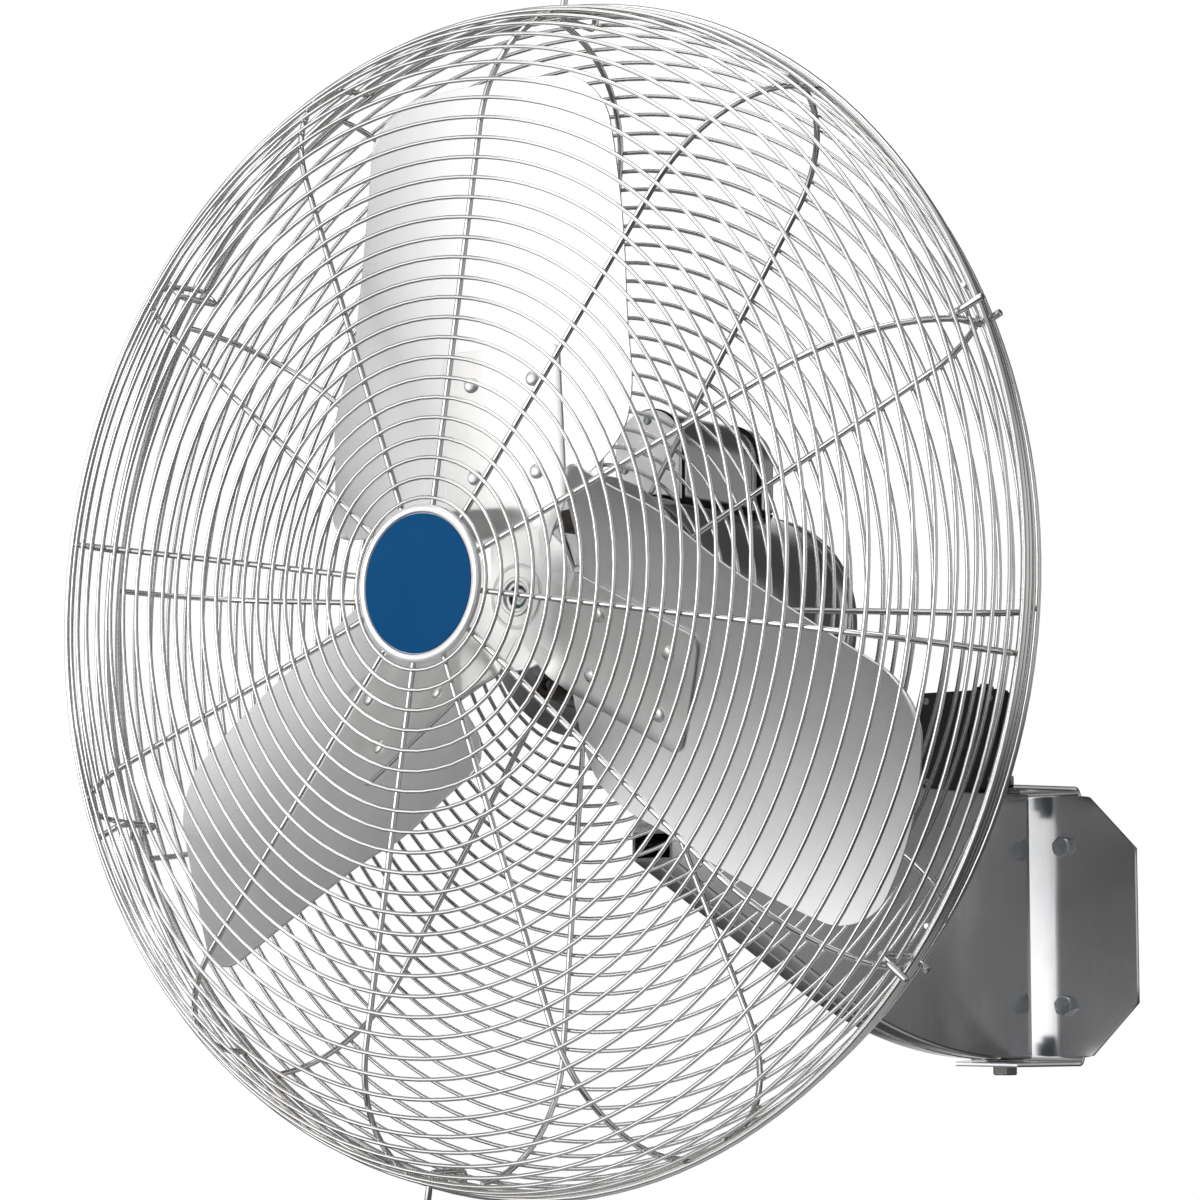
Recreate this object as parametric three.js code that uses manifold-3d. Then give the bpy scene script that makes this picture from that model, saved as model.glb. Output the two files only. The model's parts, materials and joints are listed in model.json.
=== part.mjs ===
// A wall mounted fan with a three-blade propeller in a wire guard, carried on a swivelling arm.
// Millimetres, +Z up. The origin is the centre of the wall plate's back face, the wall is the plane y = 0
// and the fan blows towards -Y.
import * as THREE from "three";
import { mergeVertices } from "three/addons/utils/BufferGeometryUtils.js";
import Module from "manifold-3d";

const wasm = await Module();
wasm.setup();

// Clearances
const seatGap = 0.3; // between two pieces that rest on each other
const runningGap = 0.06; // between the shaft and its bearings
const boltClearance = 0.5; // between a bolt and the hole round it

// Wall bracket: one folded sheet, a plate with a flange at its top and its bottom
const plateWidth = 220;
const sheetThickness = 4;
const bendRadius = 5;
const plateChamfer = 54;
const flangeReach = 66; // of the flanges, in front of the plate
const flangeFrontWidth = 62;
const wallBoltSpacingX = 80;
const wallBoltSpacingZ = 136;
const wallBoltThread = 10;
const wallBoltFlats = 16;
const wallBoltHead = 6.4;

// Swivel: one long bolt through both flanges and the arm
const pivotFromWall = 40;
const pivotThread = 12;
const pivotFlats = 19;
const pivotHead = 7.5;
const pivotNut = 10;
const thrustWasherThickness = 1.2;
const thrustWasherRadius = 16;
const pivotSleeveWall = 3;

// Arm: a folded box, level on top, with a curved and rising underside
const armWidth = 38;
const armHeight = 227;
const armWall = 2.5;
const armRearOverhang = 17; // behind the pivot
const armFrontReach = 490; // in front of the pivot
const armFrontHeight = 23; // of the open end
const armBellyRadius = 685;

// Black switch box on the arm
const switchBoxWidth = 80;
const switchBoxHeight = 85;
const switchBoxDepth = 15;
const switchBoxLid = 4;
const switchBoxWall = 2.5;
const switchBoxCorner = 4;
const switchBoxFromPivot = 48; // its back, in front of the pivot
const inletRadius = 5;
const glandLength = 10;

// Head: its own origin is on the fan's axis, at the motor's front face
const motorRadius = 88;
const motorWall = 2.8;
const motorLength = 238;
const bellDepth = 18;
const bellFloor = 10;
const bellStep = 5; // the seat of the guard's mounting ring
const bellStepRadius = 74;
const rearBellRound = 10; // of its edge
const rearBellCrown = 62; // the radius of its flat middle
const shaftEndRoom = 4; // behind the rear bearing
const spigotDepth = 6;
const spigotWall = 4;
const bearingRadius = 17;
const bearingWidth = 12;
const bearingSeatWall = 7;
const bossRadius = 11;
const bossDepth = 20;
const bossCircle = 62;
const bossAngle = -110;
const shaftRadius = 8;
const statorInner = 52;
const statorLength = 130;
const airGap = 1;
const motorSides = 20;

// Conduit box on top of the motor
const conduitWidth = 62;
const conduitRise = 68; // above the motor
const conduitStart = 75;
const conduitCover = 3;
const conduitSeal = 1.2;
const conduitBody = 89;
const conduitNeck = 9;
const conduitNeckInset = 3;
const conduitTail = 18;
const conduitWall = 3;
const conduitSealDepth = 2.5;
const conduitSealLength = 124;

// Propeller: its own origin is on the fan's axis, in the middle plane of the blades
const propellerFromMotor = 82;
const bladeSpan = 762;
const bladeThickness = 2.4;
const bladeRoot = 68;
const bladeAngle = 93.3;
const bladeCorner = 34;
const pitchAtRoot = 19.7;
const pitchAtTip = 16.2;
const pitchRootRadius = 110;
const pitchTipRadius = 380;
const camberRadius = 476;
const chordRadius = 230; // where the two chords below are measured, from the axis
const chordRun = 170; // outwards, for the tapers below
const leadingChord = 103.4;
const leadingTaper = [-19.5, 3.1];
const trailingChord = 105.3;
const trailingTaper = [2.6, -20.9];
const rootCutLength = 95;
const rootCutDepth = 42;
const spiderThickness = 3;
const spiderGap = 0.8; // to the blade, which curves behind it
const spiderRadius = 56;
const spiderReach = 190;
const spiderHalfWidth = 48;
const spiderRootHalfWidth = 26;
const hubRadius = 14.5;
const hubFront = 7;
const hubRear = 24;
const shaftRecess = 4;
const setScrewRadius = 3;
const rivetRadius = 4.6;
const rivetHeight = 2.6;
const rivetCircles = [86, 156];
const rivetOffset = 23;

// Wire guard: two halves of radial spokes with rings welded on their outer side
const spokeCount = 12;
const spokeWire = 4.3;
const ringWire = 2.8;
const rimWire = 6;
const collarWire = 4.3;
const guardDepth = 190; // between the flat fronts of the two halves
const seamFromFront = 105.4; // of the joint between the halves, behind the front one's flat
const tipClearance = 42.4; // from the blades' tips to the guard's rim
const frontArcRadius = 101.4;
const frontSpokeAngle = 14;
const frontSpokeStart = 18;
const frontRingStart = 60.2;
const frontRings = 31;
const rearRimStep = 3.1; // the rear rim is smaller than the front one
const rearArcRadius = 92;
const rearSpokeAngle = 18;
const rearRings = 28;
const fineRingRadius = 400; // rings wider than this are drawn with twice the sides
const clipCount = 6;
const clipAngle = 21.7;
const clipWire = 5;
const clipFront = 25; // in front of the seam
const clipStub = 27;
const clipBend = 5;
const clipSlack = 0.5;
const mountRingThickness = 2;
const mountRingOuter = 108;
const guardScrewThread = 6;
const guardScrewHead = 3.2;
const guardScrewHeadRadius = 5;
const guardScrewGrip = 7;
const guardScrewAngle = 33;

// Badge at the middle of the front guard
const badgeRadius = 55.7;
const badgeRim = 6.5;
const badgeThickness = 5;
const badgeRecess = 2.4;
const badgeDiscThickness = 1.2;
const badgePostRadius = 7;
const badgeClampRadius = 40;
const badgeClampThickness = 2;
const badgeScrewHead = 3;

// Tilt: a yoke under the motor straddles the arm's nose
const tiltFromFront = 60; // behind the arm's open end
const tiltBelowTop = 29.5;
const motorAboveTilt = 56; // its underside
const motorPastTilt = 140; // its front face
const tiltThread = 10;
const tiltFlats = 17;
const tiltHead = 6.4;
const lockThread = 8;
const lockFlats = 13;
const lockHead = 5.3;
const lockRadius = 26;
const tiltDown = THREE.MathUtils.degToRad(25);
const tiltUp = THREE.MathUtils.degToRad(15);
const yokeSheet = 4;
const yokeSideGap = 0.4;
const yokeEarRadius = 36;
const yokeWebHeight = 40; // of the web's underside, above the tilt bolt
const yokeWebHalfWidth = 44;
const yokeWebFront = 50; // in front of the tilt bolt
const yokeWebRear = 25;
const saddleHalfWidth = 40;
const saddleMargin = 4;
const saddleHeight = 30;
const saddleBoltGrip = 10;
const saddleBoltOffset = 34;
const saddleBoltThread = 8;

// Colours and finishes, as in the photograph
const finishes = {
  wire: { color: 0xc9c8c6, roughness: 0.25, metalness: 1 },
  blade: { color: 0xb9bbbd, roughness: 0.38, metalness: 1 },
  spider: { color: 0xc4c4c2, roughness: 0.32, metalness: 1 },
  motor: { color: 0xa9abad, roughness: 0.3, metalness: 1 },
  bell: { color: 0x8e9092, roughness: 0.4, metalness: 1 },
  steel: { color: 0x8b8c8e, roughness: 0.28, metalness: 1 },
  zinc: { color: 0x9aa1a6, roughness: 0.35, metalness: 1 },
  core: { color: 0x54565a, roughness: 0.5, metalness: 1 },
  brown: { color: 0x3a2e24, roughness: 0.6, metalness: 0 },
  black: { color: 0x121214, roughness: 0.5, metalness: 0 },
  blue: { color: 0x004b7d, roughness: 0.35, metalness: 0 },
  silver: { color: 0xd6d6d8, roughness: 0.3, metalness: 0.9 },
  nylon: { color: 0xd9d7d0, roughness: 0.55, metalness: 0 },
};

const { cos, sin, tan, sqrt, PI, SQRT2 } = Math;
const radians = THREE.MathUtils.degToRad;
const fullTurn = 2 * PI;
// The corner radius of a polygon whose flats keep the given distance from its centre.
const outside = (radius, sides) => radius / cos(PI / sides);

// ---- Geometry helpers ----

// A closed three.js geometry as a solid that can be joined and cut.
function solid(geometry) {
  const bare = geometry.index ? geometry.toNonIndexed() : geometry.clone();
  for (const name of Object.keys(bare.attributes)) {
    if (name !== "position") bare.deleteAttribute(name);
  }
  const merged = mergeVertices(bare, 1e-4);
  return new wasm.Manifold(
    new wasm.Mesh({
      numProp: 3,
      vertProperties: merged.attributes.position.array,
      triVerts: new Uint32Array(merged.index.array),
    }),
  );
}

function geometryOf(manifold) {
  const mesh = manifold.getMesh();
  const positions = new Float32Array(mesh.numVert * 3);
  for (let i = 0; i < mesh.numVert; i++) {
    positions.set(mesh.vertProperties.subarray(i * mesh.numProp, i * mesh.numProp + 3), i * 3);
  }
  const geometry = new THREE.BufferGeometry();
  geometry.setAttribute("position", new THREE.BufferAttribute(positions, 3));
  geometry.setIndex(new THREE.BufferAttribute(mesh.triVerts, 1));
  return geometry;
}

const join = (...geometries) => geometryOf(geometries.map(solid).reduce((all, one) => all.add(one)));
const cut = (from, ...tools) =>
  geometryOf(tools.map(solid).reduce((rest, tool) => rest.subtract(tool), solid(from)));
const common = (...geometries) =>
  geometryOf(geometries.map(solid).reduce((all, one) => all.intersect(one)));

// Prisms from an outline: the outline lies across the named axis and the prism runs along it.
function extruded(outline, depth, curveSegments) {
  return new THREE.ExtrudeGeometry(outline, { depth, bevelEnabled: false, curveSegments });
}
function prismX(outline, from, to, curveSegments = 3) {
  const axes = new THREE.Matrix4().makeBasis(
    new THREE.Vector3(0, 1, 0),
    new THREE.Vector3(0, 0, 1),
    new THREE.Vector3(1, 0, 0),
  );
  return extruded(outline, to - from, curveSegments).applyMatrix4(axes).translate(from, 0, 0);
}
function prismY(outline, from, to, curveSegments = 3) {
  return extruded(outline, to - from, curveSegments).rotateX(PI / 2).translate(0, to, 0);
}
function prismZ(outline, from, to, curveSegments = 3) {
  return extruded(outline, to - from, curveSegments).translate(0, 0, from);
}

// A block between two corners.
function block(low, high) {
  const size = high.map((value, i) => value - low[i]);
  const middle = high.map((value, i) => (value + low[i]) / 2);
  return new THREE.BoxGeometry(...size).translate(...middle);
}

const polygon = (points) => new THREE.Shape(points.map(([x, y]) => new THREE.Vector2(x, y)));

function roundedRectangle(halfWidth, low, high, radius) {
  const shape = new THREE.Shape();
  shape.moveTo(-halfWidth + radius, low);
  shape.absarc(halfWidth - radius, low + radius, radius, -PI / 2, 0);
  shape.absarc(halfWidth - radius, high - radius, radius, 0, PI / 2);
  shape.absarc(-halfWidth + radius, high - radius, radius, PI / 2, PI);
  shape.absarc(-halfWidth + radius, low + radius, radius, PI, 1.5 * PI);
  return shape;
}

// A body turned round the Y axis from [radius, y] pairs, listed with the material on their left.
function turned(profile, sides) {
  const points = profile.map(([radius, y]) => new THREE.Vector2(radius, y));
  if (profile[0][0] > 0) points.push(points[0].clone());
  return new THREE.LatheGeometry(points, sides);
}
const tube = (inner, outer, from, to, sides) =>
  turned([[inner, from], [outer, from], [outer, to], [inner, to]], sides);
const rod = (radius, from, to, sides) => turned([[0, from], [radius, from], [radius, to], [0, to]], sides);
const hexagon = (flats, from, to) => rod(outside(flats / 2, 6), from, to, 6);

// The bodies above run along +Y. These lay them along another axis.
const alongZ = (geometry) => geometry.rotateX(PI / 2);
const alongX = (geometry) => geometry.rotateZ(-PI / 2);

// A hexagon bolt along +Y. Its head's bearing face is at y = 0 and its shank points to +Y.
function bolt(thread, flats, head, length) {
  return join(hexagon(flats, -head, 0), rod(thread / 2, -head / 2, length, 6));
}
const nut = (thread, flats, height) =>
  cut(hexagon(flats, 0, height), rod(thread / 2 + seatGap, -1, height + 1, 6));

// A closed sheet over a grid of points. pointAt(u, v, face) gives the face at 0 and the other at 1.
function sheet(rows, columns, pointAt) {
  const positions = [];
  const index = [];
  const at = (row, column, face) => (face * (rows + 1) + row) * (columns + 1) + column;
  for (const face of [0, 1]) {
    for (let row = 0; row <= rows; row++) {
      for (let column = 0; column <= columns; column++) {
        positions.push(...pointAt(row / rows, column / columns, face));
      }
    }
  }
  const quad = (a, b, c, d) => index.push(a, b, c, a, c, d);
  for (let row = 0; row < rows; row++) {
    for (let column = 0; column < columns; column++) {
      const corners = (face) => [
        at(row, column, face),
        at(row + 1, column, face),
        at(row + 1, column + 1, face),
        at(row, column + 1, face),
      ];
      quad(...corners(0));
      quad(...corners(1).reverse());
    }
    quad(at(row, 0, 0), at(row, 0, 1), at(row + 1, 0, 1), at(row + 1, 0, 0));
    quad(at(row + 1, columns, 0), at(row + 1, columns, 1), at(row, columns, 1), at(row, columns, 0));
  }
  for (let column = 0; column < columns; column++) {
    quad(at(0, column + 1, 0), at(0, column + 1, 1), at(0, column, 1), at(0, column, 0));
    quad(at(rows, column, 0), at(rows, column, 1), at(rows, column + 1, 1), at(rows, column + 1, 0));
  }
  const geometry = new THREE.BufferGeometry();
  geometry.setAttribute("position", new THREE.Float32BufferAttribute(positions, 3));
  geometry.setIndex(index);
  return geometry;
}

// A wire bent in one plane along [x, y] points, with its corners mitred.
function bentWire(path, wire, sides) {
  const positions = [];
  const index = [];
  const last = path.length - 1;
  const heading = (i) => Math.atan2(path[i + 1][1] - path[i][1], path[i + 1][0] - path[i][0]);
  path.forEach(([x, y], i) => {
    const before = heading(Math.max(i - 1, 0));
    const after = heading(Math.min(i, last - 1));
    const lean = (before + after) / 2;
    const stretch = 1 / cos((after - before) / 2);
    for (let side = 0; side < sides; side++) {
      const angle = (side * fullTurn) / sides;
      const across = (wire / 2) * cos(angle) * stretch;
      positions.push(x - across * sin(lean), y + across * cos(lean), (wire / 2) * sin(angle));
      if (i === last) continue;
      const here = i * sides + side;
      const next = i * sides + ((side + 1) % sides);
      index.push(here, next, next + sides, here, next + sides, here + sides);
    }
  });
  for (let side = 1; side < sides - 1; side++) {
    index.push(0, side + 1, side, last * sides, last * sides + side, last * sides + side + 1);
  }
  const geometry = new THREE.BufferGeometry();
  geometry.setAttribute("position", new THREE.Float32BufferAttribute(positions, 3));
  geometry.setIndex(index);
  return geometry;
}

function mesh(name, geometry, finish) {
  geometry.computeVertexNormals();
  const made = new THREE.Mesh(geometry, new THREE.MeshStandardMaterial(finishes[finish]));
  made.name = name;
  return made;
}

// ---- Wall bracket and swivel ----

const armGap = seatGap + thrustWasherThickness + seatGap; // from the arm to either flange
const flangeInner = armHeight / 2 + armGap;
const plateHalfHeight = flangeInner + sheetThickness;
const flangeFront = -(sheetThickness + flangeReach);

function foldedSheetProfile() {
  const inner = bendRadius;
  const outer = bendRadius + sheetThickness;
  const shape = new THREE.Shape();
  shape.moveTo(0, 0);
  shape.absarc(-outer, plateHalfHeight - outer, outer, 0, PI / 2);
  shape.lineTo(flangeFront, plateHalfHeight);
  shape.lineTo(flangeFront, flangeInner);
  shape.absarc(-outer, flangeInner - inner, inner, PI / 2, 0, true);
  shape.absarc(-outer, -flangeInner + inner, inner, 0, -PI / 2, true);
  shape.lineTo(flangeFront, -flangeInner);
  shape.lineTo(flangeFront, -plateHalfHeight);
  shape.absarc(-outer, -plateHalfHeight + outer, outer, -PI / 2, 0);
  return shape;
}

function wallBoltPlaces() {
  const places = [];
  for (const z of [1, -1]) {
    for (const x of [-1, 1]) places.push([(x * wallBoltSpacingX) / 2, (z * wallBoltSpacingZ) / 2]);
  }
  return places;
}

function wallBracket() {
  const half = plateWidth / 2;
  const foldHalf = half - plateChamfer;
  const behindFold = -(sheetThickness + bendRadius);
  const folded = prismX(foldedSheetProfile(), -half, half, 2);
  const front = polygon([
    [-foldHalf, -plateHalfHeight],
    [foldHalf, -plateHalfHeight],
    [half, -plateHalfHeight + plateChamfer],
    [half, plateHalfHeight - plateChamfer],
    [foldHalf, plateHalfHeight],
    [-foldHalf, plateHalfHeight],
    [-half, plateHalfHeight - plateChamfer],
    [-half, -plateHalfHeight + plateChamfer],
  ]);
  const plan = polygon([
    [-flangeFrontWidth / 2, flangeFront - 1],
    [flangeFrontWidth / 2, flangeFront - 1],
    [foldHalf, behindFold],
    [half + 1, behindFold],
    [half + 1, 1],
    [-half - 1, 1],
    [-half - 1, behindFold],
    [-foldHalf, behindFold],
  ]);
  const blank = common(
    folded,
    prismY(front, flangeFront - 1, 1),
    prismZ(plan, -plateHalfHeight - 1, plateHalfHeight + 1),
  );
  const wallHoles = wallBoltPlaces().map(([x, z]) =>
    rod(wallBoltThread / 2 + boltClearance, -sheetThickness - 1, 1, 12).translate(x, 0, z),
  );
  const pivotHole = alongZ(
    rod(pivotThread / 2 + boltClearance, -plateHalfHeight - 1, plateHalfHeight + 1, 12),
  ).translate(0, -pivotFromWall, 0);
  return cut(blank, pivotHole, ...wallHoles);
}

function wallGroup() {
  const group = new THREE.Group();
  group.add(mesh("wall_bracket", wallBracket(), "steel"));
  wallBoltPlaces().forEach(([x, z], i) => {
    const geometry = bolt(wallBoltThread, wallBoltFlats, wallBoltHead, sheetThickness);
    const made = mesh("wall_bolt_" + (i + 1), geometry, "zinc");
    made.position.set(x, -sheetThickness - seatGap, z);
    group.add(made);
  });
  const reach = 2 * plateHalfHeight + seatGap + pivotNut + 3;
  const pivotBolt = mesh("pivot_bolt", alongZ(bolt(pivotThread, pivotFlats, pivotHead, reach)), "zinc");
  pivotBolt.position.set(0, -pivotFromWall, -plateHalfHeight - seatGap);
  const pivotTop = mesh("pivot_nut", alongZ(nut(pivotThread, pivotFlats, pivotNut)), "zinc");
  pivotTop.position.set(0, -pivotFromWall, plateHalfHeight + seatGap);
  group.add(pivotBolt, pivotTop);
  const washer = () =>
    alongZ(
      tube(outside(pivotThread / 2 + seatGap, 12), thrustWasherRadius, 0, thrustWasherThickness, 12),
    );
  const upper = mesh("thrust_washer_upper", washer(), "nylon");
  upper.position.set(0, -pivotFromWall, flangeInner - seatGap - thrustWasherThickness);
  const lower = mesh("thrust_washer_lower", washer(), "nylon");
  lower.position.set(0, -pivotFromWall, -flangeInner + seatGap);
  group.add(upper, lower);
  return group;
}

// ---- Arm ---- (origin on the swivel axis, at the bracket's middle height)

const armTop = armHeight / 2;
const tiltPoint = { y: tiltFromFront - armFrontReach, z: armTop - tiltBelowTop };
const bellyCentre = armBellyRadius - armTop;
const armNoseDrop = tiltFromFront - tiltBelowTop * (SQRT2 - 1); // from the top down to the open end
const armSlope = slopeOfBelly();

// The rise of the straight underside, which starts from the belly's arc and ends at the open end.
function slopeOfBelly() {
  const rise = bellyCentre - (armTop - armNoseDrop - armFrontHeight);
  return Math.atan2(armFrontReach, rise) - Math.acos(armBellyRadius / Math.hypot(armFrontReach, rise));
}

// The side of the arm, drawn in from its outline by the given inset and run past its ends by the overrun.
function armOutline(inset, overrun) {
  const top = armTop - inset;
  const belly = armBellyRadius - inset;
  const noseRadius = tiltBelowTop - inset;
  const front = -armFrontReach - overrun;
  const shape = new THREE.Shape();
  shape.moveTo(armRearOverhang + overrun, top);
  shape.lineTo(tiltPoint.y, top);
  shape.absarc(tiltPoint.y, tiltPoint.z, noseRadius, PI / 2, 0.75 * PI);
  const noseY = tiltPoint.y - noseRadius * sin(PI / 4);
  const noseZ = tiltPoint.z + noseRadius * cos(PI / 4);
  shape.lineTo(front, noseZ - (noseY - front));
  const bellyEndY = -belly * sin(armSlope);
  const bellyEndZ = bellyCentre - belly * cos(armSlope);
  shape.lineTo(front, bellyEndZ + (bellyEndY - front) * tan(armSlope));
  shape.absarc(0, bellyCentre, belly, 1.5 * PI - armSlope, 1.5 * PI);
  shape.lineTo(armRearOverhang + overrun, -armTop + inset);
  return shape;
}

function armBody() {
  const half = armWidth / 2;
  const outer = prismX(armOutline(0, 0), -half, half, 4);
  const inner = prismX(armOutline(armWall, 1), -half + armWall, half - armWall, 4);
  const pivotHole = alongZ(rod(pivotThread / 2 + boltClearance, -armTop - 1, armTop + 1, 12));
  const across = (thread, y, z) =>
    alongX(rod(thread / 2 + boltClearance, -half - 1, half + 1, 10)).translate(0, y, z);
  return cut(
    outer,
    inner,
    pivotHole,
    across(tiltThread, tiltPoint.y, tiltPoint.z),
    across(lockThread, tiltPoint.y, tiltPoint.z - lockRadius),
  );
}

function switchBox() {
  const half = switchBoxWidth / 2;
  const outline = roundedRectangle(half, 0, switchBoxHeight, switchBoxCorner);
  const hollow = roundedRectangle(
    half - switchBoxWall,
    switchBoxWall,
    switchBoxHeight - switchBoxWall,
    switchBoxCorner - switchBoxWall / 2,
  );
  const inletBottom = switchBoxHeight - 2 * switchBoxWall;
  const inlet = alongZ(rod(inletRadius + seatGap, inletBottom, switchBoxHeight + 1, 12));
  return cut(
    prismY(outline, -switchBoxDepth, 0, 1),
    prismY(hollow, -switchBoxDepth - 1, -switchBoxWall, 1),
    inlet.translate(half / 2, -switchBoxDepth / 2, 0),
  );
}

// A cable gland: a flanged bush that fills a round inlet.
function gland(length) {
  const bore = inletRadius / 2;
  return turned(
    [
      [bore, -length / 2],
      [inletRadius, -length / 2],
      [inletRadius, 0],
      [inletRadius + 2.5, 0],
      [inletRadius + 2.5, length / 4],
      [bore, length / 2],
    ],
    8,
  );
}

function armGroup() {
  const group = new THREE.Group();
  group.position.set(0, -pivotFromWall, 0);
  group.add(mesh("arm", armBody(), "steel"));
  const sleeveInner = outside(pivotThread / 2 + boltClearance, 12);
  const sleeveEnd = armTop - armWall - 2 * seatGap;
  const sleeve = alongZ(tube(sleeveInner, sleeveInner + pivotSleeveWall, -sleeveEnd, sleeveEnd, 12));
  group.add(mesh("pivot_sleeve", sleeve, "zinc"));

  const box = new THREE.Group();
  box.position.set(0, -switchBoxFromPivot, armTop + seatGap);
  box.add(mesh("switch_box", switchBox(), "black"));
  const lidOutline = roundedRectangle(switchBoxWidth / 2, 0, switchBoxHeight, switchBoxCorner);
  const lidBack = -switchBoxDepth - seatGap;
  box.add(mesh("switch_box_lid", prismY(lidOutline, lidBack - switchBoxLid, lidBack, 1), "black"));
  const boxGland = mesh("switch_box_gland", alongZ(gland(glandLength)), "black");
  boxGland.position.set(switchBoxWidth / 4, -switchBoxDepth / 2, switchBoxHeight + seatGap);
  box.add(boxGland);
  group.add(box);

  // The tilt bolt and the lock bolt lie across the arm's nose and outside the yoke's ears.
  const earOuter = armWidth / 2 + yokeSideGap + yokeSheet;
  const crossBolt = (name, thread, flats, head, z) => {
    const length = 2 * (earOuter + seatGap) + seatGap + head + 2;
    const made = mesh(name + "_bolt", alongX(bolt(thread, flats, head, length)).rotateY(PI), "zinc");
    made.position.set(earOuter + seatGap, tiltPoint.y, z);
    const far = mesh(name + "_nut", alongX(nut(thread, flats, head)).rotateY(PI), "zinc");
    far.position.set(-earOuter - seatGap, tiltPoint.y, z);
    group.add(made, far);
  };
  crossBolt("tilt", tiltThread, tiltFlats, tiltHead, tiltPoint.z);
  crossBolt("lock", lockThread, lockFlats, lockHead, tiltPoint.z - lockRadius);
  return group;
}

// ---- Motor ---- (origin on the fan's axis, at the motor's front face)

const axisAboveTilt = motorAboveTilt + motorRadius;
const shellInner = motorRadius - motorWall;
const spigotRadius = shellInner - 2 * seatGap - motorRadius * (1 - cos(PI / motorSides));
const bearingSeat = outside(bearingRadius + seatGap / 2, motorSides);
const bearingSeatOuter = bearingRadius + bearingSeatWall;
const shaftHole = shaftRadius + 1.5;
const rearBellStart = motorLength - bellDepth - 2;
const frontBearing = bellFloor / 2 + seatGap / 2;
const rearBearing = rearBellStart - spigotDepth;
const bearingBore = outside(shaftRadius + runningGap, 16);

function frontBell() {
  const body = turned(
    [
      [shaftHole, 0],
      [bellStepRadius, 0],
      [bellStepRadius, bellStep],
      [motorRadius, bellStep],
      [motorRadius, bellDepth],
      [spigotRadius, bellDepth],
      [spigotRadius, bellDepth + spigotDepth],
      [spigotRadius - spigotWall, bellDepth + spigotDepth],
      [spigotRadius - spigotWall, bellFloor],
      [bearingSeatOuter, bellFloor],
      [bearingSeatOuter, frontBearing + bearingWidth],
      [bearingSeat, frontBearing + bearingWidth],
      [bearingSeat, bellFloor / 2],
      [shaftHole, bellFloor / 2],
    ],
    motorSides,
  );
  const holes = guardScrewPlaces().map(([x, z]) =>
    rod(guardScrewThread / 2 + seatGap, bellStep - 1, bellStep + guardScrewGrip + 1, 6).translate(x, 0, z),
  );
  return cut(body, ...holes);
}

function rearBell() {
  const pocket = rearBearing + bearingWidth + seatGap;
  return turned(
    [
      [0, pocket + shaftEndRoom],
      [shaftHole, pocket + shaftEndRoom],
      [shaftHole, pocket],
      [bearingSeat, pocket],
      [bearingSeat, rearBearing],
      [bearingSeatOuter, rearBearing],
      [bearingSeatOuter, rearBellStart + bellFloor],
      [spigotRadius - 2 * spigotWall, rearBellStart + bellFloor - 2],
      [spigotRadius - spigotWall, rearBellStart - spigotDepth],
      [spigotRadius, rearBellStart - spigotDepth],
      [spigotRadius, rearBellStart],
      [motorRadius, rearBellStart],
      [motorRadius - rearBellRound / 5, motorLength - 1.2 * rearBellRound],
      [motorRadius - rearBellRound, motorLength - rearBellRound / 2],
      [rearBellCrown, motorLength - 1],
      [0, motorLength],
    ],
    motorSides,
  );
}

function motorMeshes() {
  const statorStart = (motorLength - statorLength) / 2;
  const shell = tube(shellInner, motorRadius, bellDepth + seatGap, rearBellStart - seatGap, motorSides);
  const statorOuter = shellInner * cos(PI / motorSides) - seatGap;
  const stator = tube(statorInner, statorOuter, statorStart, statorStart + statorLength, motorSides);
  const bearing = (start) => tube(bearingBore, bearingRadius, start, start + bearingWidth, 16);
  const meshes = [
    mesh("motor_shell", shell, "motor"),
    mesh("motor_front_bell", frontBell(), "bell"),
    mesh("motor_rear_bell", rearBell(), "motor"),
    mesh("motor_stator", stator, "core"),
    mesh("front_bearing", bearing(frontBearing), "zinc"),
    mesh("rear_bearing", bearing(rearBearing), "zinc"),
  ];
  for (let i = 0; i < 4; i++) {
    const angle = radians(bossAngle + 90 * i);
    const boss = mesh(
      "motor_boss_" + (i + 1),
      turned(
        [
          [bossRadius / 2, -bossDepth],
          [bossRadius, -bossDepth],
          [bossRadius, -seatGap],
          [0, -seatGap],
          [0, -bossDepth / 2],
          [bossRadius / 2, -bossDepth / 2],
        ],
        10,
      ),
      "brown",
    );
    boss.position.set(bossCircle * cos(angle), 0, bossCircle * sin(angle));
    meshes.push(boss);
  }
  return meshes;
}

// The conduit box stands on the motor's shell: an arch in section, with a flat cover on its front.
const conduitHalf = conduitWidth / 2;
const conduitTop = motorRadius + conduitRise;
const conduitSeatRadius = motorRadius + seatGap;
const motorRound = (radius) => rod(radius, -1, motorLength + 1, motorSides);

function archOutline(inset, foot) {
  const half = conduitHalf - inset;
  const shape = new THREE.Shape();
  shape.moveTo(-half, foot);
  shape.lineTo(half, foot);
  shape.absarc(0, conduitTop - conduitHalf, half, 0, PI);
  return shape;
}

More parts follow.
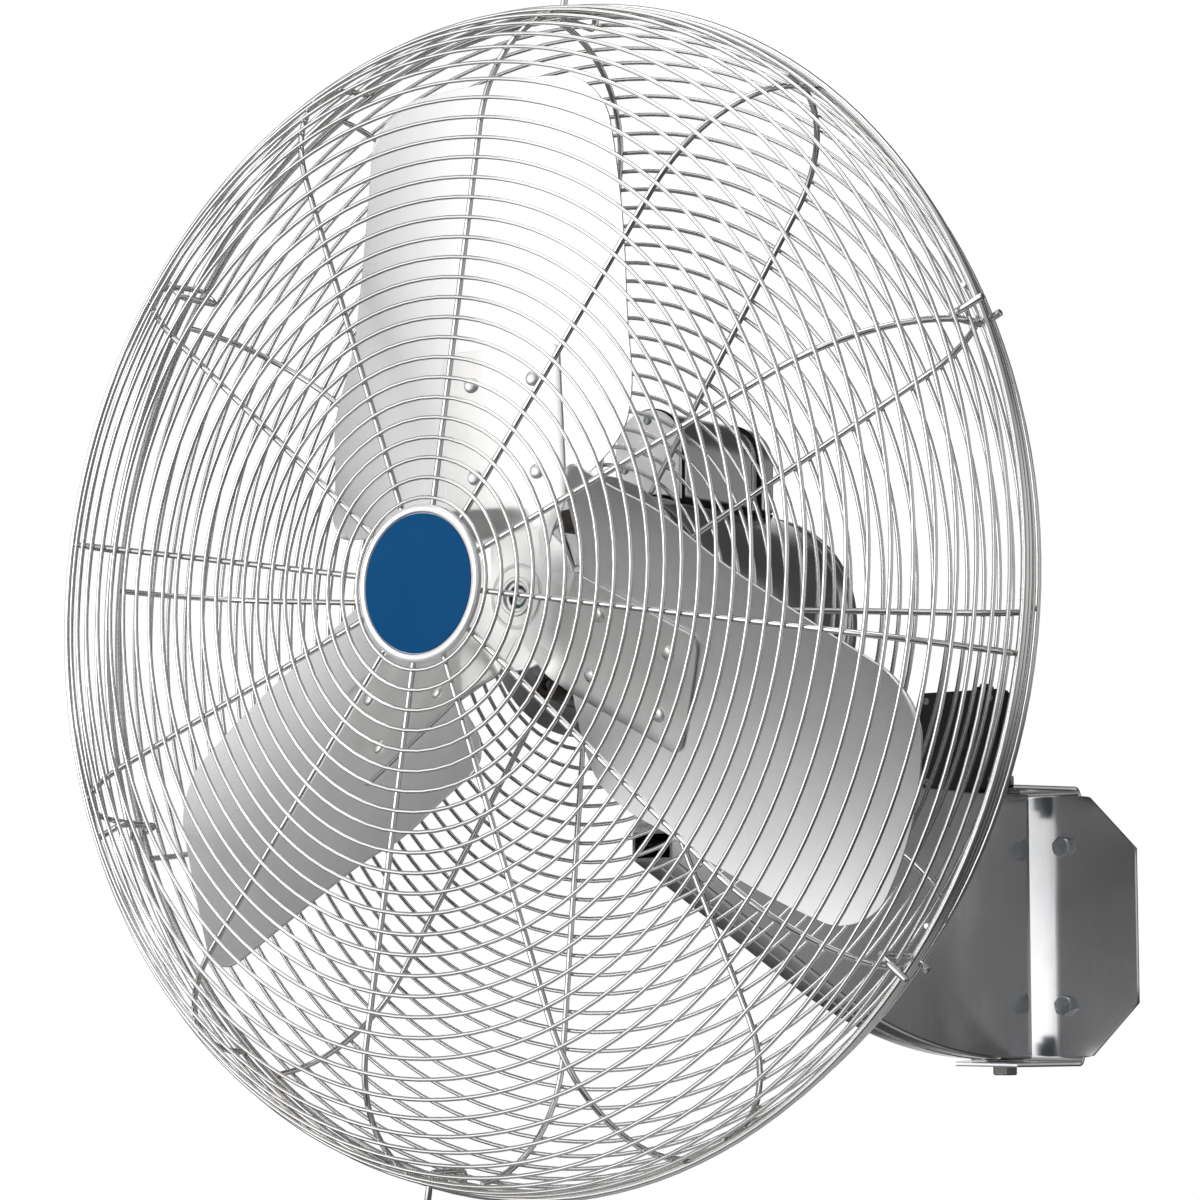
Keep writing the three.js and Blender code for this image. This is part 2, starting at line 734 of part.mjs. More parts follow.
function conduitMeshes() {
  const foot = conduitSeatRadius * cos(PI / 5);
  const bodyFoot = conduitSeatRadius + conduitSealDepth + seatGap;
  const frontEnd = conduitStart + conduitCover;
  const sealEnd = frontEnd + 2 * seatGap + conduitSeal;
  const bodyEnd = sealEnd + conduitBody;
  const neckEnd = bodyEnd + conduitNeck;
  const round = motorRound(bodyFoot);
  const innerFoot = bodyFoot + 2 * conduitWall;
  const arch = (inset, from, to, low) => prismY(archOutline(inset, low), from, to, 5);
  const box = cut(
    join(
      arch(0, sealEnd, bodyEnd, foot),
      arch(conduitNeckInset, bodyEnd - 1, neckEnd, foot),
    ),
    arch(conduitWall, sealEnd - 1, bodyEnd - conduitWall, innerFoot),
    round,
  );
  const tailStart = neckEnd + seatGap;
  const tailHole = rod(inletRadius + seatGap, tailStart - 1, tailStart + conduitTail + 1, 12);
  const tail = cut(
    arch(0, tailStart, tailStart + conduitTail, foot),
    round,
    tailHole.translate(0, 0, conduitTop - conduitHalf),
  );
  const collar = (start) =>
    cut(
      arch(-1, start, start + conduitSeal, foot),
      round,
      arch(conduitWall, start - 1, start + conduitSeal + 1, innerFoot),
    );
  const cover = cut(arch(0, conduitStart, frontEnd, foot), round);
  const baseStart = frontEnd + conduitCover;
  const base = common(
    block([-conduitHalf, baseStart, 0], [conduitHalf, baseStart + conduitSealLength, conduitTop]),
    cut(motorRound(conduitSeatRadius + conduitSealDepth), motorRound(conduitSeatRadius)),
  );
  const conduitGland = mesh("conduit_gland", gland(glandLength), "black");
  conduitGland.position.set(0, tailStart + conduitTail + seatGap, conduitTop - conduitHalf);
  return [
    mesh("conduit_box", box, "motor"),
    mesh("conduit_front_cover", cover, "silver"),
    mesh("conduit_rear_cover", tail, "motor"),
    mesh("conduit_front_seal", collar(frontEnd + seatGap), "black"),
    mesh("conduit_base_seal", base, "black"),
    conduitGland,
  ];
}

// ---- Tilt yoke ----

// The tilt bolt as the head sees it.
const tiltInHead = { y: motorPastTilt, z: -axisAboveTilt };
const webFront = tiltInHead.y - yokeWebFront;
const webRear = tiltInHead.y + yokeWebRear;
const webLow = tiltInHead.z + yokeWebHeight;
const webHigh = webLow + yokeSheet;
const saddleBoltY = (webFront + webRear) / 2;

// One ear seen from the side: square to the web above, round about the tilt bolt below.
function earOutline() {
  const { y, z } = tiltInHead;
  const shape = new THREE.Shape();
  shape.moveTo(webRear, webHigh);
  shape.lineTo(webFront, webHigh);
  shape.lineTo(webFront, webLow - yokeSheet);
  shape.absarc(y, z, yokeEarRadius, PI, fullTurn);
  shape.lineTo(webRear, webLow - yokeSheet);
  const boltHole = new THREE.Path();
  boltHole.absarc(y, z, outside(tiltThread / 2 + seatGap, 6), 0, fullTurn, true);
  const slotHalf = lockThread / 2 + boltClearance;
  const play = radians(2);
  const start = -PI / 2 - tiltDown - play;
  const end = -PI / 2 + tiltUp + play;
  const slot = new THREE.Path();
  const at = (angle, radius) => [y + radius * cos(angle), z + radius * sin(angle)];
  slot.moveTo(...at(start, lockRadius - slotHalf));
  slot.absarc(y, z, lockRadius - slotHalf, start, end);
  slot.absarc(...at(end, lockRadius), slotHalf, end - PI, end, true);
  slot.absarc(y, z, lockRadius + slotHalf, end, start, true);
  slot.absarc(...at(start, lockRadius), slotHalf, start, start - PI, true);
  shape.holes.push(boltHole, slot);
  return shape;
}

function tiltYoke() {
  const earInner = armWidth / 2 + yokeSideGap;
  const earOuter = earInner + yokeSheet;
  const web = block([-yokeWebHalfWidth, webFront, webLow], [yokeWebHalfWidth, webRear, webHigh]);
  const ears = [prismX(earOutline(), -earOuter, -earInner), prismX(earOutline(), earInner, earOuter)];
  return cut(join(web, ...ears), ...saddleBoltHoles(webLow - 1, webHigh + 1));
}

function saddleBoltHoles(from, to) {
  return [-1, 1].map((side) =>
    alongZ(rod(outside(saddleBoltThread / 2 + seatGap, 8), from, to, 8)).translate(
      side * saddleBoltOffset,
      saddleBoltY,
      0,
    ),
  );
}

function yokeMeshes() {
  const saddle = cut(
    block(
      [-saddleHalfWidth, webFront + saddleMargin, webHigh + seatGap],
      [saddleHalfWidth, webRear - saddleMargin, webHigh + saddleHeight],
    ),
    motorRound(conduitSeatRadius),
    ...saddleBoltHoles(webLow, webHigh + saddleBoltGrip + 2),
  );
  const bolts = [-1, 1].map((side) => {
    const name = side < 0 ? "saddle_bolt_left" : "saddle_bolt_right";
    const geometry = alongZ(bolt(saddleBoltThread, lockFlats, lockHead, yokeSheet + saddleBoltGrip));
    const made = mesh(name, geometry, "zinc");
    made.position.set(side * saddleBoltOffset, saddleBoltY, webLow - seatGap);
    return made;
  });
  return [mesh("tilt_yoke", tiltYoke(), "steel"), mesh("motor_saddle", saddle, "steel"), ...bolts];
}

// ---- Wire guard ----

// A round wire is drawn with a three-sided section of the same area, flat on the side that is welded.
function wireSection(wire) {
  return { half: (wire / 2) * sqrt(PI / sqrt(3)), height: (wire / 2) * sqrt(PI * sqrt(3)) };
}

// One half of the guard as a single closed surface. side is -1 where its outer face looks to -Y and 1 where
// it looks to +Y. Rings are [distance along the spoke, wire, sides from one spoke to the next]. A spoke's
// flat and a ring's flat lie on the same surface, and where they cross, the shared rectangle is left open
// in both.
function wireGuard({ side, plane, flatRadius, arcRadius, spokeAngle, spokeStart, rings }) {
  const positions = [];
  const index = [];
  const spoke = wireSection(spokeWire);
  const turn = (along) => Math.max(0, along - flatRadius) / arcRadius;
  const add = (along, across, lift, angle) => {
    const bend = turn(along);
    const radius = Math.min(along, flatRadius) + arcRadius * sin(bend) + lift * sin(bend);
    const y = plane - side * arcRadius * (1 - cos(bend)) + side * lift * cos(bend);
    positions.push(radius * cos(angle) - across * sin(angle), y, radius * sin(angle) + across * cos(angle));
    return positions.length / 3 - 1;
  };
  const triangle = (a, b, c) => (side < 0 ? index.push(a, b, c) : index.push(a, c, b));
  const quad = (a, b, c, d) => {
    triangle(a, b, c);
    triangle(a, c, d);
  };
  const step = fullTurn / spokeCount;
  const angles = Array.from({ length: spokeCount }, (_, i) => radians(spokeAngle) + i * step);

  // The four corners of each crossing and the ring's crest above it.
  const crossings = angles.map((angle) =>
    rings.map(([along, wire]) => {
      const { half, height } = wireSection(wire);
      return {
        start: along - half,
        end: along + half,
        middle: along,
        startLeft: add(along - half, -spoke.half, 0, angle),
        startRight: add(along - half, spoke.half, 0, angle),
        endLeft: add(along + half, -spoke.half, 0, angle),
        endRight: add(along + half, spoke.half, 0, angle),
        crest: add(along, 0, height, angle),
      };
    }),
  );

  angles.forEach((angle, i) => {
    const row = crossings[i];
    const tail = row[row.length - 1];
    const startLeft = add(spokeStart, -spoke.half, 0, angle);
    const startRight = add(spokeStart, spoke.half, 0, angle);
    // Outer face, between the rings.
    quad(startLeft, row[0].startLeft, row[0].startRight, startRight);
    for (let ring = 1; ring < row.length; ring++) {
      const before = row[ring - 1];
      quad(before.endLeft, row[ring].startLeft, row[ring].startRight, before.endRight);
    }
    // Both slanted sides, down to the spoke's keel.
    const left = [{ along: spokeStart, vertex: startLeft }];
    const right = [{ along: spokeStart, vertex: startRight }];
    const keelAt = (along) => ({ along, vertex: add(along, 0, -spoke.height, angle) });
    const keel = [keelAt(spokeStart)];
    row.forEach((crossing, ring) => {
      left.push({ along: crossing.start, vertex: crossing.startLeft });
      left.push({ along: crossing.end, vertex: crossing.endLeft });
      right.push({ along: crossing.start, vertex: crossing.startRight });
      right.push({ along: crossing.end, vertex: crossing.endRight });
      const inArc = crossing.end > flatRadius;
      if (ring < row.length - 1 && (inArc || ring % 5 === 4)) keel.push(keelAt(crossing.middle));
    });
    keel.push(keelAt(tail.end));
    const zip = (edge, face) => {
      let e = 0;
      let k = 0;
      while (e < edge.length - 1 || k < keel.length - 1) {
        const edgeNext = e < edge.length - 1 ? edge[e + 1].along : Infinity;
        const keelNext = k < keel.length - 1 ? keel[k + 1].along : Infinity;
        if (edgeNext <= keelNext) face(edge[e].vertex, edge[++e].vertex, keel[k].vertex);
        else face(edge[e].vertex, keel[k + 1].vertex, keel[k++].vertex);
      }
    };
    zip(right, (a, b, c) => triangle(a, b, c));
    zip(left, (a, b, c) => triangle(a, c, b));
    triangle(startLeft, startRight, keel[0].vertex);
    triangle(tail.endLeft, keel[keel.length - 1].vertex, tail.endRight);
  });

  // Rings, from each spoke to the next and across it.
  rings.forEach(([along, wire, pieces], ring) => {
    const { half, height } = wireSection(wire);
    angles.forEach((angle, i) => {
      const here = crossings[i][ring];
      const next = crossings[(i + 1) % spokeCount][ring];
      const stations = [{ inner: here.startRight, outer: here.endRight, crest: here.crest }];
      for (let piece = 1; piece < pieces; piece++) {
        const between = angle + (piece * step) / pieces;
        stations.push({
          inner: add(along - half, 0, 0, between),
          outer: add(along + half, 0, 0, between),
          crest: add(along, 0, height, between),
        });
      }
      stations.push({ inner: next.startLeft, outer: next.endLeft, crest: next.crest });
      for (let s = 1; s < stations.length; s++) {
        const [p, q] = [stations[s - 1], stations[s]];
        quad(p.inner, q.inner, q.outer, p.outer);
        quad(p.inner, p.crest, q.crest, q.inner);
        quad(p.outer, q.outer, q.crest, p.crest);
      }
      triangle(here.startLeft, here.crest, here.startRight);
      triangle(here.endLeft, here.endRight, here.crest);
    });
  });

  const geometry = new THREE.BufferGeometry();
  geometry.setAttribute("position", new THREE.Float32BufferAttribute(positions, 3));
  geometry.setIndex(index);
  return geometry;
}

// Rings at an even pitch from the first to the rim, which is a thicker wire. The wide ones have more sides.
function evenRings(start, end, count) {
  return Array.from({ length: count }, (_, i) => {
    const along = start + ((end - start) * i) / (count - 1);
    return [along, i === count - 1 ? rimWire : ringWire, along > fineRingRadius ? 2 : 1];
  });
}

const spokeSection = wireSection(spokeWire);
const rearGuardPlane = bellStep + spokeSection.height;
const frontPlane = rearGuardPlane - guardDepth;
const seam = frontPlane + seamFromFront;
const rimHalf = wireSection(rimWire).half;
const frontFlatRadius = bladeSpan / 2 + tipClearance - frontArcRadius;
const frontDrop = seamFromFront - seatGap / 2 - rimHalf;
const frontRimAngle = Math.acos(1 - frontDrop / frontArcRadius);
const frontRimAlong = frontFlatRadius + frontArcRadius * frontRimAngle;
const rearDrop = guardDepth - seamFromFront - seatGap / 2 - rimHalf;
const rearRimAngle = Math.acos(1 - rearDrop / rearArcRadius);
const rearRimRadius = frontFlatRadius + frontArcRadius * sin(frontRimAngle) - rearRimStep;
const rearFlatRadius = rearRimRadius - rearArcRadius * sin(rearRimAngle);
const rearRimAlong = rearFlatRadius + rearArcRadius * rearRimAngle;
const collarInner = outside(motorRadius + seatGap, 2 * spokeCount);
const collarAlong = collarInner + wireSection(collarWire).half;

function frontGuard() {
  return wireGuard({
    side: -1,
    plane: frontPlane,
    flatRadius: frontFlatRadius,
    arcRadius: frontArcRadius,
    spokeAngle: frontSpokeAngle,
    spokeStart: frontSpokeStart,
    rings: evenRings(frontRingStart, frontRimAlong, frontRings),
  });
}

function rearGuard() {
  const [, ...rings] = evenRings(collarAlong, rearRimAlong, rearRings);
  return wireGuard({
    side: 1,
    plane: rearGuardPlane,
    flatRadius: rearFlatRadius,
    arcRadius: rearArcRadius,
    spokeAngle: rearSpokeAngle,
    spokeStart: collarInner - seatGap / 2,
    rings: [[collarAlong, collarWire, 2], ...rings],
  });
}

// A hook of wire that runs inside both rims and turns out over the rear one and between two front rings.
function guardClip() {
  // Between two stations the rim is a chord, which lies nearer to the axis than its corners.
  const halfStep = PI / spokeCount / 2;
  const offMiddle = radians(clipAngle - rearSpokeAngle) - halfStep;
  const rimInside = (rearRimRadius * cos(halfStep)) / cos(offMiddle);
  const radius = rimInside - clipWire / 2 - seatGap - clipSlack;
  const rear = seam + seatGap / 2 + 2 * rimHalf + clipWire / 2 + 2 * clipSlack;
  const front = seam - clipFront;
  const halfway = clipBend * (1 - SQRT2 / 2);
  const path = [
    [radius + clipStub, front],
    [radius + clipBend, front],
    [radius + halfway, front + halfway],
    [radius, front + clipBend],
    [radius, rear - clipBend],
    [radius + halfway, rear - halfway],
    [radius + clipBend, rear],
    [radius + clipStub, rear],
  ];
  return bentWire(path, clipWire, 5);
}

function guardScrewPlaces() {
  const circle = (bellStepRadius + motorRadius) / 2;
  return [0, 1, 2, 3].map((i) => {
    const angle = radians(guardScrewAngle + 90 * i);
    return [circle * cos(angle), circle * sin(angle)];
  });
}

function guardMeshes() {
  const meshes = [mesh("front_guard", frontGuard(), "wire"), mesh("rear_guard", rearGuard(), "wire")];
  for (let i = 0; i < clipCount; i++) {
    const clip = mesh("guard_clip_" + (i + 1), guardClip(), "wire");
    clip.rotation.y = -radians(clipAngle + (360 / clipCount) * i);
    meshes.push(clip);
  }
  const ringFront = bellStep - seatGap - mountRingThickness;
  const plate = tube(bellStepRadius + 1, mountRingOuter, ringFront, ringFront + mountRingThickness, 24);
  const screws = guardScrewPlaces().flatMap(([x, z]) => [
    rod(guardScrewHeadRadius, ringFront - guardScrewHead, ringFront + 1, 6).translate(x, 0, z),
    rod(guardScrewThread / 2, ringFront - 1, bellStep + guardScrewGrip, 6).translate(x, 0, z),
  ]);
  // The ring's screws go into the bell and are one piece with the ring.
  meshes.push(mesh("guard_mount_ring", join(plate, ...screws), "steel"));
  return meshes;
}

// ---- Badge ---- (in front of the spokes, held by a clamp plate behind them)

function badgeMeshes() {
  const back = frontPlane - seatGap;
  const face = back - badgeThickness;
  const keelBack = frontPlane + spokeSection.height + seatGap;
  const recess = face + badgeRecess;
  const inner = badgeRadius - badgeRim;
  const post = keelBack - seatGap;
  const body = turned(
    [
      [0, recess],
      [inner, recess],
      [inner + 1, face + 0.6],
      [inner + badgeRim / 2, face],
      [badgeRadius, face + 1.5],
      [badgeRadius, back],
      [badgePostRadius, back],
      [badgePostRadius, post],
      [0, post],
    ],
    24,
  );
  const discFront = recess - seatGap - badgeDiscThickness;
  const clampBack = keelBack + badgeClampThickness;
  const screwFront = clampBack + seatGap;
  return [
    mesh("badge_body", body, "silver"),
    mesh("badge_disc", rod(inner - 1, discFront, discFront + badgeDiscThickness, 24), "blue"),
    mesh("badge_clamp", rod(badgeClampRadius, keelBack, clampBack, 16), "steel"),
    mesh("badge_screw", rod(badgePostRadius, screwFront, screwFront + badgeScrewHead, 8), "zinc"),
  ];
}

// ---- Propeller ---- (origin on the axis, in the middle plane of the blades)

const bladePitch = (radius) => {
  const share = (radius - pitchRootRadius) / (pitchTipRadius - pitchRootRadius);
  return radians(pitchAtRoot + (pitchAtTip - pitchAtRoot) * share);
};

// A point on the blade's middle surface, at a distance from the axis and a place across the chord, moved
// off the surface by lift (towards the front where it is negative).
function bladePoint(radius, across, lift, pitch = bladePitch(radius)) {
  const lean = pitch + Math.atan(across / camberRadius);
  const y = -across * sin(pitch) - across ** 2 / (2 * camberRadius);
  return [radius, y + lift * cos(lean), across * cos(pitch) + lift * sin(lean)];
}

// Half the chord on the leading (1) and the trailing (-1) side of the blade's radial line.
function halfChord(radius, side) {
  const share = (radius - chordRadius) / chordRun;
  const chord = side > 0 ? leadingChord : trailingChord;
  const [taper, curve] = side > 0 ? leadingTaper : trailingTaper;
  const rootCut = Math.max(0, 1 - (radius - bladeRoot) / rootCutLength);
  return chord + taper * share + curve * share ** 2 - rootCutDepth * rootCut ** 2;
}

function blade() {
  const tip = bladeSpan / 2;
  const spread = (v) => sin((v - 0.5) * PI);
  return sheet(7, 8, (u, v, face) => {
    const place = spread(v);
    const side = Math.sign(place);
    const chordAtTip = halfChord(tip - bladeCorner, side || 1);
    const reach = Math.abs(place) * chordAtTip;
    const intoCorner = Math.max(0, reach - (chordAtTip - bladeCorner));
    const drop = bladeCorner - sqrt(bladeCorner ** 2 - intoCorner ** 2);
    const end = sqrt(tip ** 2 - (reach * cos(bladePitch(tip))) ** 2) - drop;
    const radius = bladeRoot + (end - bladeRoot) * u;
    const across = place * halfChord(radius, side || 1);
    return bladePoint(radius, across, (face ? 1 : -1) * (bladeThickness / 2));
  });
}

function spiderArm() {
  const start = 16;
  const twistEnd = bladeRoot - 3;
  const lift = bladeThickness / 2 + spiderGap + spiderThickness / 2;
  return sheet(4, 4, (u, v, face) => {
    const twisted = start + (twistEnd - start) * 2 * u;
    const radius = u < 0.5 ? twisted : twistEnd + (spiderReach - twistEnd) * (2 * u - 1);
    const widening = Math.min(1, (radius - start) / (twistEnd - start));
    const half = spiderRootHalfWidth + (spiderHalfWidth - spiderRootHalfWidth) * widening;
    const across = (2 * v - 1) * half;
    const pitch = bladePitch(radius) * THREE.MathUtils.smoothstep(radius, start, twistEnd);
    return bladePoint(radius, across, -lift + (face ? 1 : -1) * (spiderThickness / 2), pitch);
  });
}

const spiderBack = -(bladeThickness / 2 + spiderGap);
const setScrewY = hubRear - 8;

function hubSpider() {
  const bore = outside(shaftRadius + seatGap, 16);
  const disc = tube(bore, spiderRadius, spiderBack - spiderThickness, spiderBack, 16);
  const boss = tube(bore, hubRadius, spiderBack - spiderThickness - hubFront, hubRear, 16);
  const pieces = [disc, boss];
  for (let i = 0; i < 3; i++) {
    const turnTo = -radians(bladeAngle - 120 * i);
    pieces.push(spiderArm().rotateY(turnTo));
    for (const radius of rivetCircles) {
      for (const across of [-rivetOffset, rivetOffset]) {
        const seat = bladePoint(radius, across, -(bladeThickness / 2 + spiderGap + spiderThickness));
        const lean = bladePitch(radius) + Math.atan(across / camberRadius);
        const rivet = turned(
          [
            [0, -rivetHeight],
            [rivetRadius * 0.66, -rivetHeight * 0.75],
            [rivetRadius, 0],
            [0, spiderThickness / 2],
          ],
          6,
        );
        pieces.push(rivet.rotateX(lean).translate(...seat).rotateY(turnTo));
      }
    }
  }
  const screwHole = alongX(rod(setScrewRadius + seatGap, shaftRadius - 1, hubRadius + 1, 8));
  const clear = rod(bore, spiderBack - spiderThickness - hubFront - 1, hubRear + 1, 16);
  return cut(join(...pieces), clear, screwHole.translate(0, setScrewY, 0));
}

function propellerGroup() {
  const group = new THREE.Group();
  group.position.set(0, -propellerFromMotor, 0);
  group.add(mesh("hub_spider", hubSpider(), "spider"));
  for (let i = 0; i < 3; i++) {
    const made = mesh("blade_" + (i + 1), blade(), "blade");
    made.rotation.y = -radians(bladeAngle - 120 * i);
    group.add(made);
  }
  const screwRod = alongX(rod(setScrewRadius, shaftRadius + seatGap, hubRadius + 1.5, 6));
  const screw = mesh("hub_set_screw", screwRod, "zinc");
  screw.position.y = setScrewY;
  const shaftFront = spiderBack - spiderThickness - hubFront + shaftRecess;
  const shaftRear = propellerFromMotor + rearBearing + bearingWidth + seatGap;
  group.add(screw, mesh("shaft", rod(shaftRadius, shaftFront, shaftRear, 16), "zinc"));
  const rotorStart = propellerFromMotor + (motorLength - statorLength) / 2;
  const rotorRadius = statorInner * cos(PI / motorSides) - airGap / 2;
  const rotorBore = outside(shaftRadius + seatGap, 16);
  const rotor = tube(rotorBore, rotorRadius, rotorStart, rotorStart + statorLength, 16);
  group.add(mesh("motor_rotor", rotor, "core"));
  return group;
}

function headGroup() {
  const group = new THREE.Group();
  group.position.set(0, tiltPoint.y - pivotFromWall - motorPastTilt, tiltPoint.z + axisAboveTilt);
  group.add(...motorMeshes(), ...conduitMeshes(), ...yokeMeshes(), ...guardMeshes(), ...badgeMeshes());
  group.add(propellerGroup());
  return group;
}

const fan = new THREE.Group();
fan.add(wallGroup(), armGroup(), headGroup());

export default fan;
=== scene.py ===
import json
import math

import bmesh
import bpy
import numpy as np
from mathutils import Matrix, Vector


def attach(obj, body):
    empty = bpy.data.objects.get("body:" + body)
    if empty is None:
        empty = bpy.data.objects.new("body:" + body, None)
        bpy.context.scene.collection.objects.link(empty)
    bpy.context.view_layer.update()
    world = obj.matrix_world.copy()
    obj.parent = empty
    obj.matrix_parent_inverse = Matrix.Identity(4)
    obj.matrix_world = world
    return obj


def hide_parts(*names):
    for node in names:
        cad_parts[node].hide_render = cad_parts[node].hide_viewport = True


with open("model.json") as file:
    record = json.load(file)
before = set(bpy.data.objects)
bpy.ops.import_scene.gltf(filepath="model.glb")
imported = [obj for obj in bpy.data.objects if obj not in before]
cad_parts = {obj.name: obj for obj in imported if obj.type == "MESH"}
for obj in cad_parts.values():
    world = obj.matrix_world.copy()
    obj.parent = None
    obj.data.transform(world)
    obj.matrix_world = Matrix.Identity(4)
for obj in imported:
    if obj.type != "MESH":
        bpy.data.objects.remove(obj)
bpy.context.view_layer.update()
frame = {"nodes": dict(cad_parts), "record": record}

fullTurn = 2 * math.pi
mm = 0.001

# Places that the pieces share, in millimetres. The fan's axis runs along Y.
place = {
    "motorFace": np.array([0.0, -610.0, 228.0]),  # the motor's front face, on the axis
    "swivel": np.array([0.0, -40.0, 0.0]),
    "tilt": np.array([0.0, -470.0, 84.0]),
    "propeller": -82.0,  # the blades' middle plane, from the motor's face
    "frontPlane": -179.985,  # where spokes and rings of the front guard touch
    "rearPlane": 10.015,
    "seam": -74.585,
}


# ---- Mesh helpers ----

def meshPiece(name, points, faces, sharp=35.0):
    data = bpy.data.meshes.new(name)
    data.from_pydata((np.asarray(points, float) * mm).tolist(), [], faces)
    piece = bpy.data.objects.new(name, data)
    bpy.context.scene.collection.objects.link(piece)
    tidyMesh(piece, sharp)
    return piece


def tidyMesh(piece, sharp=35.0):
    work = bmesh.new()
    work.from_mesh(piece.data)
    bmesh.ops.recalc_face_normals(work, faces=work.faces)
    work.to_mesh(piece.data)
    work.free()
    piece.data.shade_smooth()
    piece.data.set_sharp_from_angle(angle=math.radians(sharp))


# Quads over a grid of points, which may close round on itself either way.
def gridFaces(rows, columns, closeRows=False, closeColumns=False, first=0):
    faces = []
    for row in range(rows if closeRows else rows - 1):
        below = first + row * columns
        above = first + (row + 1) % rows * columns
        for column in range(columns if closeColumns else columns - 1):
            after = (column + 1) % columns
            faces.append((below + column, below + after, above + after, above + column))
    return faces


def endCaps(rows, columns, first=0):
    last = first + (rows - 1) * columns
    return [tuple(first + i for i in reversed(range(columns))), tuple(last + i for i in range(columns))]


class Lump:  # gathers several closed surfaces into one piece
    def __init__(self):
        self.points = []
        self.faces = []

    def grid(self, points, closeRows=False, closeColumns=True, caps=True):
        points = np.asarray(points, float)
        rows, columns = points.shape[:2]
        first = len(self.points)
        self.points.extend(points.reshape(-1, 3).tolist())
        self.faces.extend(gridFaces(rows, columns, closeRows, closeColumns, first))
        if caps and not closeRows:
            self.faces.extend(endCaps(rows, columns, first))

    def piece(self, name, sharp=35.0):
        return meshPiece(name, self.points, self.faces, sharp)


# One piece from a single closed grid.
def gridPiece(name, points, sharp=35.0, closeRows=False):
    lump = Lump()
    lump.grid(points, closeRows)
    return lump.piece(name, sharp)


# Evenly spaced angles once round.
def roundTurn(count):
    return np.linspace(0, fullTurn, count, endpoint=False)


# The way out from the fan's axis at an angle round it, and the way along the circle there.
def outwards(degrees):
    angle = math.radians(degrees)
    return np.array([math.cos(angle), 0.0, math.sin(angle)])


def alongside(degrees):
    angle = math.radians(degrees)
    return np.array([-math.sin(angle), 0.0, math.cos(angle)])


# A round wire along a path: the normals and the binormals span its section.
def wireGrid(centres, normals, binormals, radius, sides):
    turn = roundTurn(sides)
    radius = np.broadcast_to(np.asarray(radius, float), (len(centres),))[:, None, None]
    cos, sin = np.cos(turn)[None, :, None], np.sin(turn)[None, :, None]
    return centres[:, None, :] + radius * (cos * normals[:, None, :] + sin * binormals[:, None, :])


# A bent path of straight stretches with round corners.
def roundedPath(points, radius, steps=5):
    points = [np.asarray(p, float) for p in points]
    path = [points[0]]
    for before, corner, after in zip(points, points[1:], points[2:]):
        inward = (before - corner) / np.linalg.norm(before - corner)
        outward = (after - corner) / np.linalg.norm(after - corner)
        half = math.acos(max(-1.0, min(1.0, float(inward @ outward)))) / 2
        shorter = min(np.linalg.norm(before - corner), np.linalg.norm(after - corner))
        reach = min(radius / math.tan(half), 0.49 * shorter)
        start, end = corner + inward * reach, corner + outward * reach
        for step in range(steps + 1):
            t = step / steps
            path.append((1 - t) ** 2 * start + 2 * t * (1 - t) * corner + t ** 2 * end)
    path.append(points[-1])
    return np.array(path)


# A wire along any path in space.
def pathWire(path, radius, sides=12):
    path = np.asarray(path, float)
    tangents = np.gradient(path, axis=0)
    tangents /= np.linalg.norm(tangents, axis=1)[:, None]
    normal = np.cross(tangents[0], [0.31, 0.52, 0.79])
    normals = []
    for tangent in tangents:
        normal = normal - tangent * (normal @ tangent)
        normal = normal / np.linalg.norm(normal)
        normals.append(normal)
    normals = np.array(normals)
    return wireGrid(path, normals, np.cross(tangents, normals), radius, sides)


# Rounds the corners of an outline or profile. Each point is (a, b) or (a, b, its own radius).
def filleted(points, radius, steps=4, closed=False):
    count = len(points)
    flat = [np.array(p[:2], float) for p in points]
    made = []
    for i, point in enumerate(points):
        own = point[2] if len(point) > 2 else radius
        if own <= 0 or (not closed and i in (0, count - 1)):
            made.append(flat[i])
            continue
        corner = flat[i]
        inward, outward = flat[i - 1] - corner, flat[(i + 1) % count] - corner
        lengths = np.linalg.norm(inward), np.linalg.norm(outward)
        inward, outward = inward / lengths[0], outward / lengths[1]
        half = math.acos(max(-1.0, min(1.0, float(inward @ outward)))) / 2
        if half > math.radians(87):
            made.append(corner)
            continue
        reach = min(own / math.tan(half), 0.48 * lengths[0], 0.48 * lengths[1])
        round_ = reach * math.tan(half)
        centre = corner + (inward + outward) / np.linalg.norm(inward + outward) * (round_ / math.sin(half))
        start, end = corner + inward * reach - centre, corner + outward * reach - centre
        angle = math.atan2(start[1], start[0])
        sweep = (math.atan2(end[1], end[0]) - angle + math.pi) % fullTurn - math.pi
        for step in range(steps + 1):
            at = angle + sweep * step / steps
            made.append(centre + round_ * np.array([math.cos(at), math.sin(at)]))
    return np.array(made)


# Turned round an axis along Y through origin, from (radius, y) pairs. A profile that starts and ends on
# the axis is closed by its own ends, and any other closes on itself.
def turnedGrid(profile, origin, segments=64):
    profile = np.asarray(profile, float)
    turn = roundTurn(segments)
    radius = np.maximum(profile[:, 0], 0.02)[:, None]
    return np.stack([
        origin[0] + radius * np.cos(turn),
        np.broadcast_to(origin[1] + profile[:, 1][:, None], (len(profile), segments)),
        origin[2] + radius * np.sin(turn),
    ], axis=-1)


def turned(lump, profile, origin, radius=0.6, segments=64, steps=3):
    onAxis = profile[0][0] < 0.1
    profile = filleted(profile, radius, steps, not onAxis)
    lump.grid(turnedGrid(profile, origin, segments), closeRows=not onAxis)
    return lump


def turnedPiece(name, profile, origin, radius=0.6, segments=64, steps=3, sharp=35.0):
    return turned(Lump(), profile, origin, radius, segments, steps).piece(name, sharp)


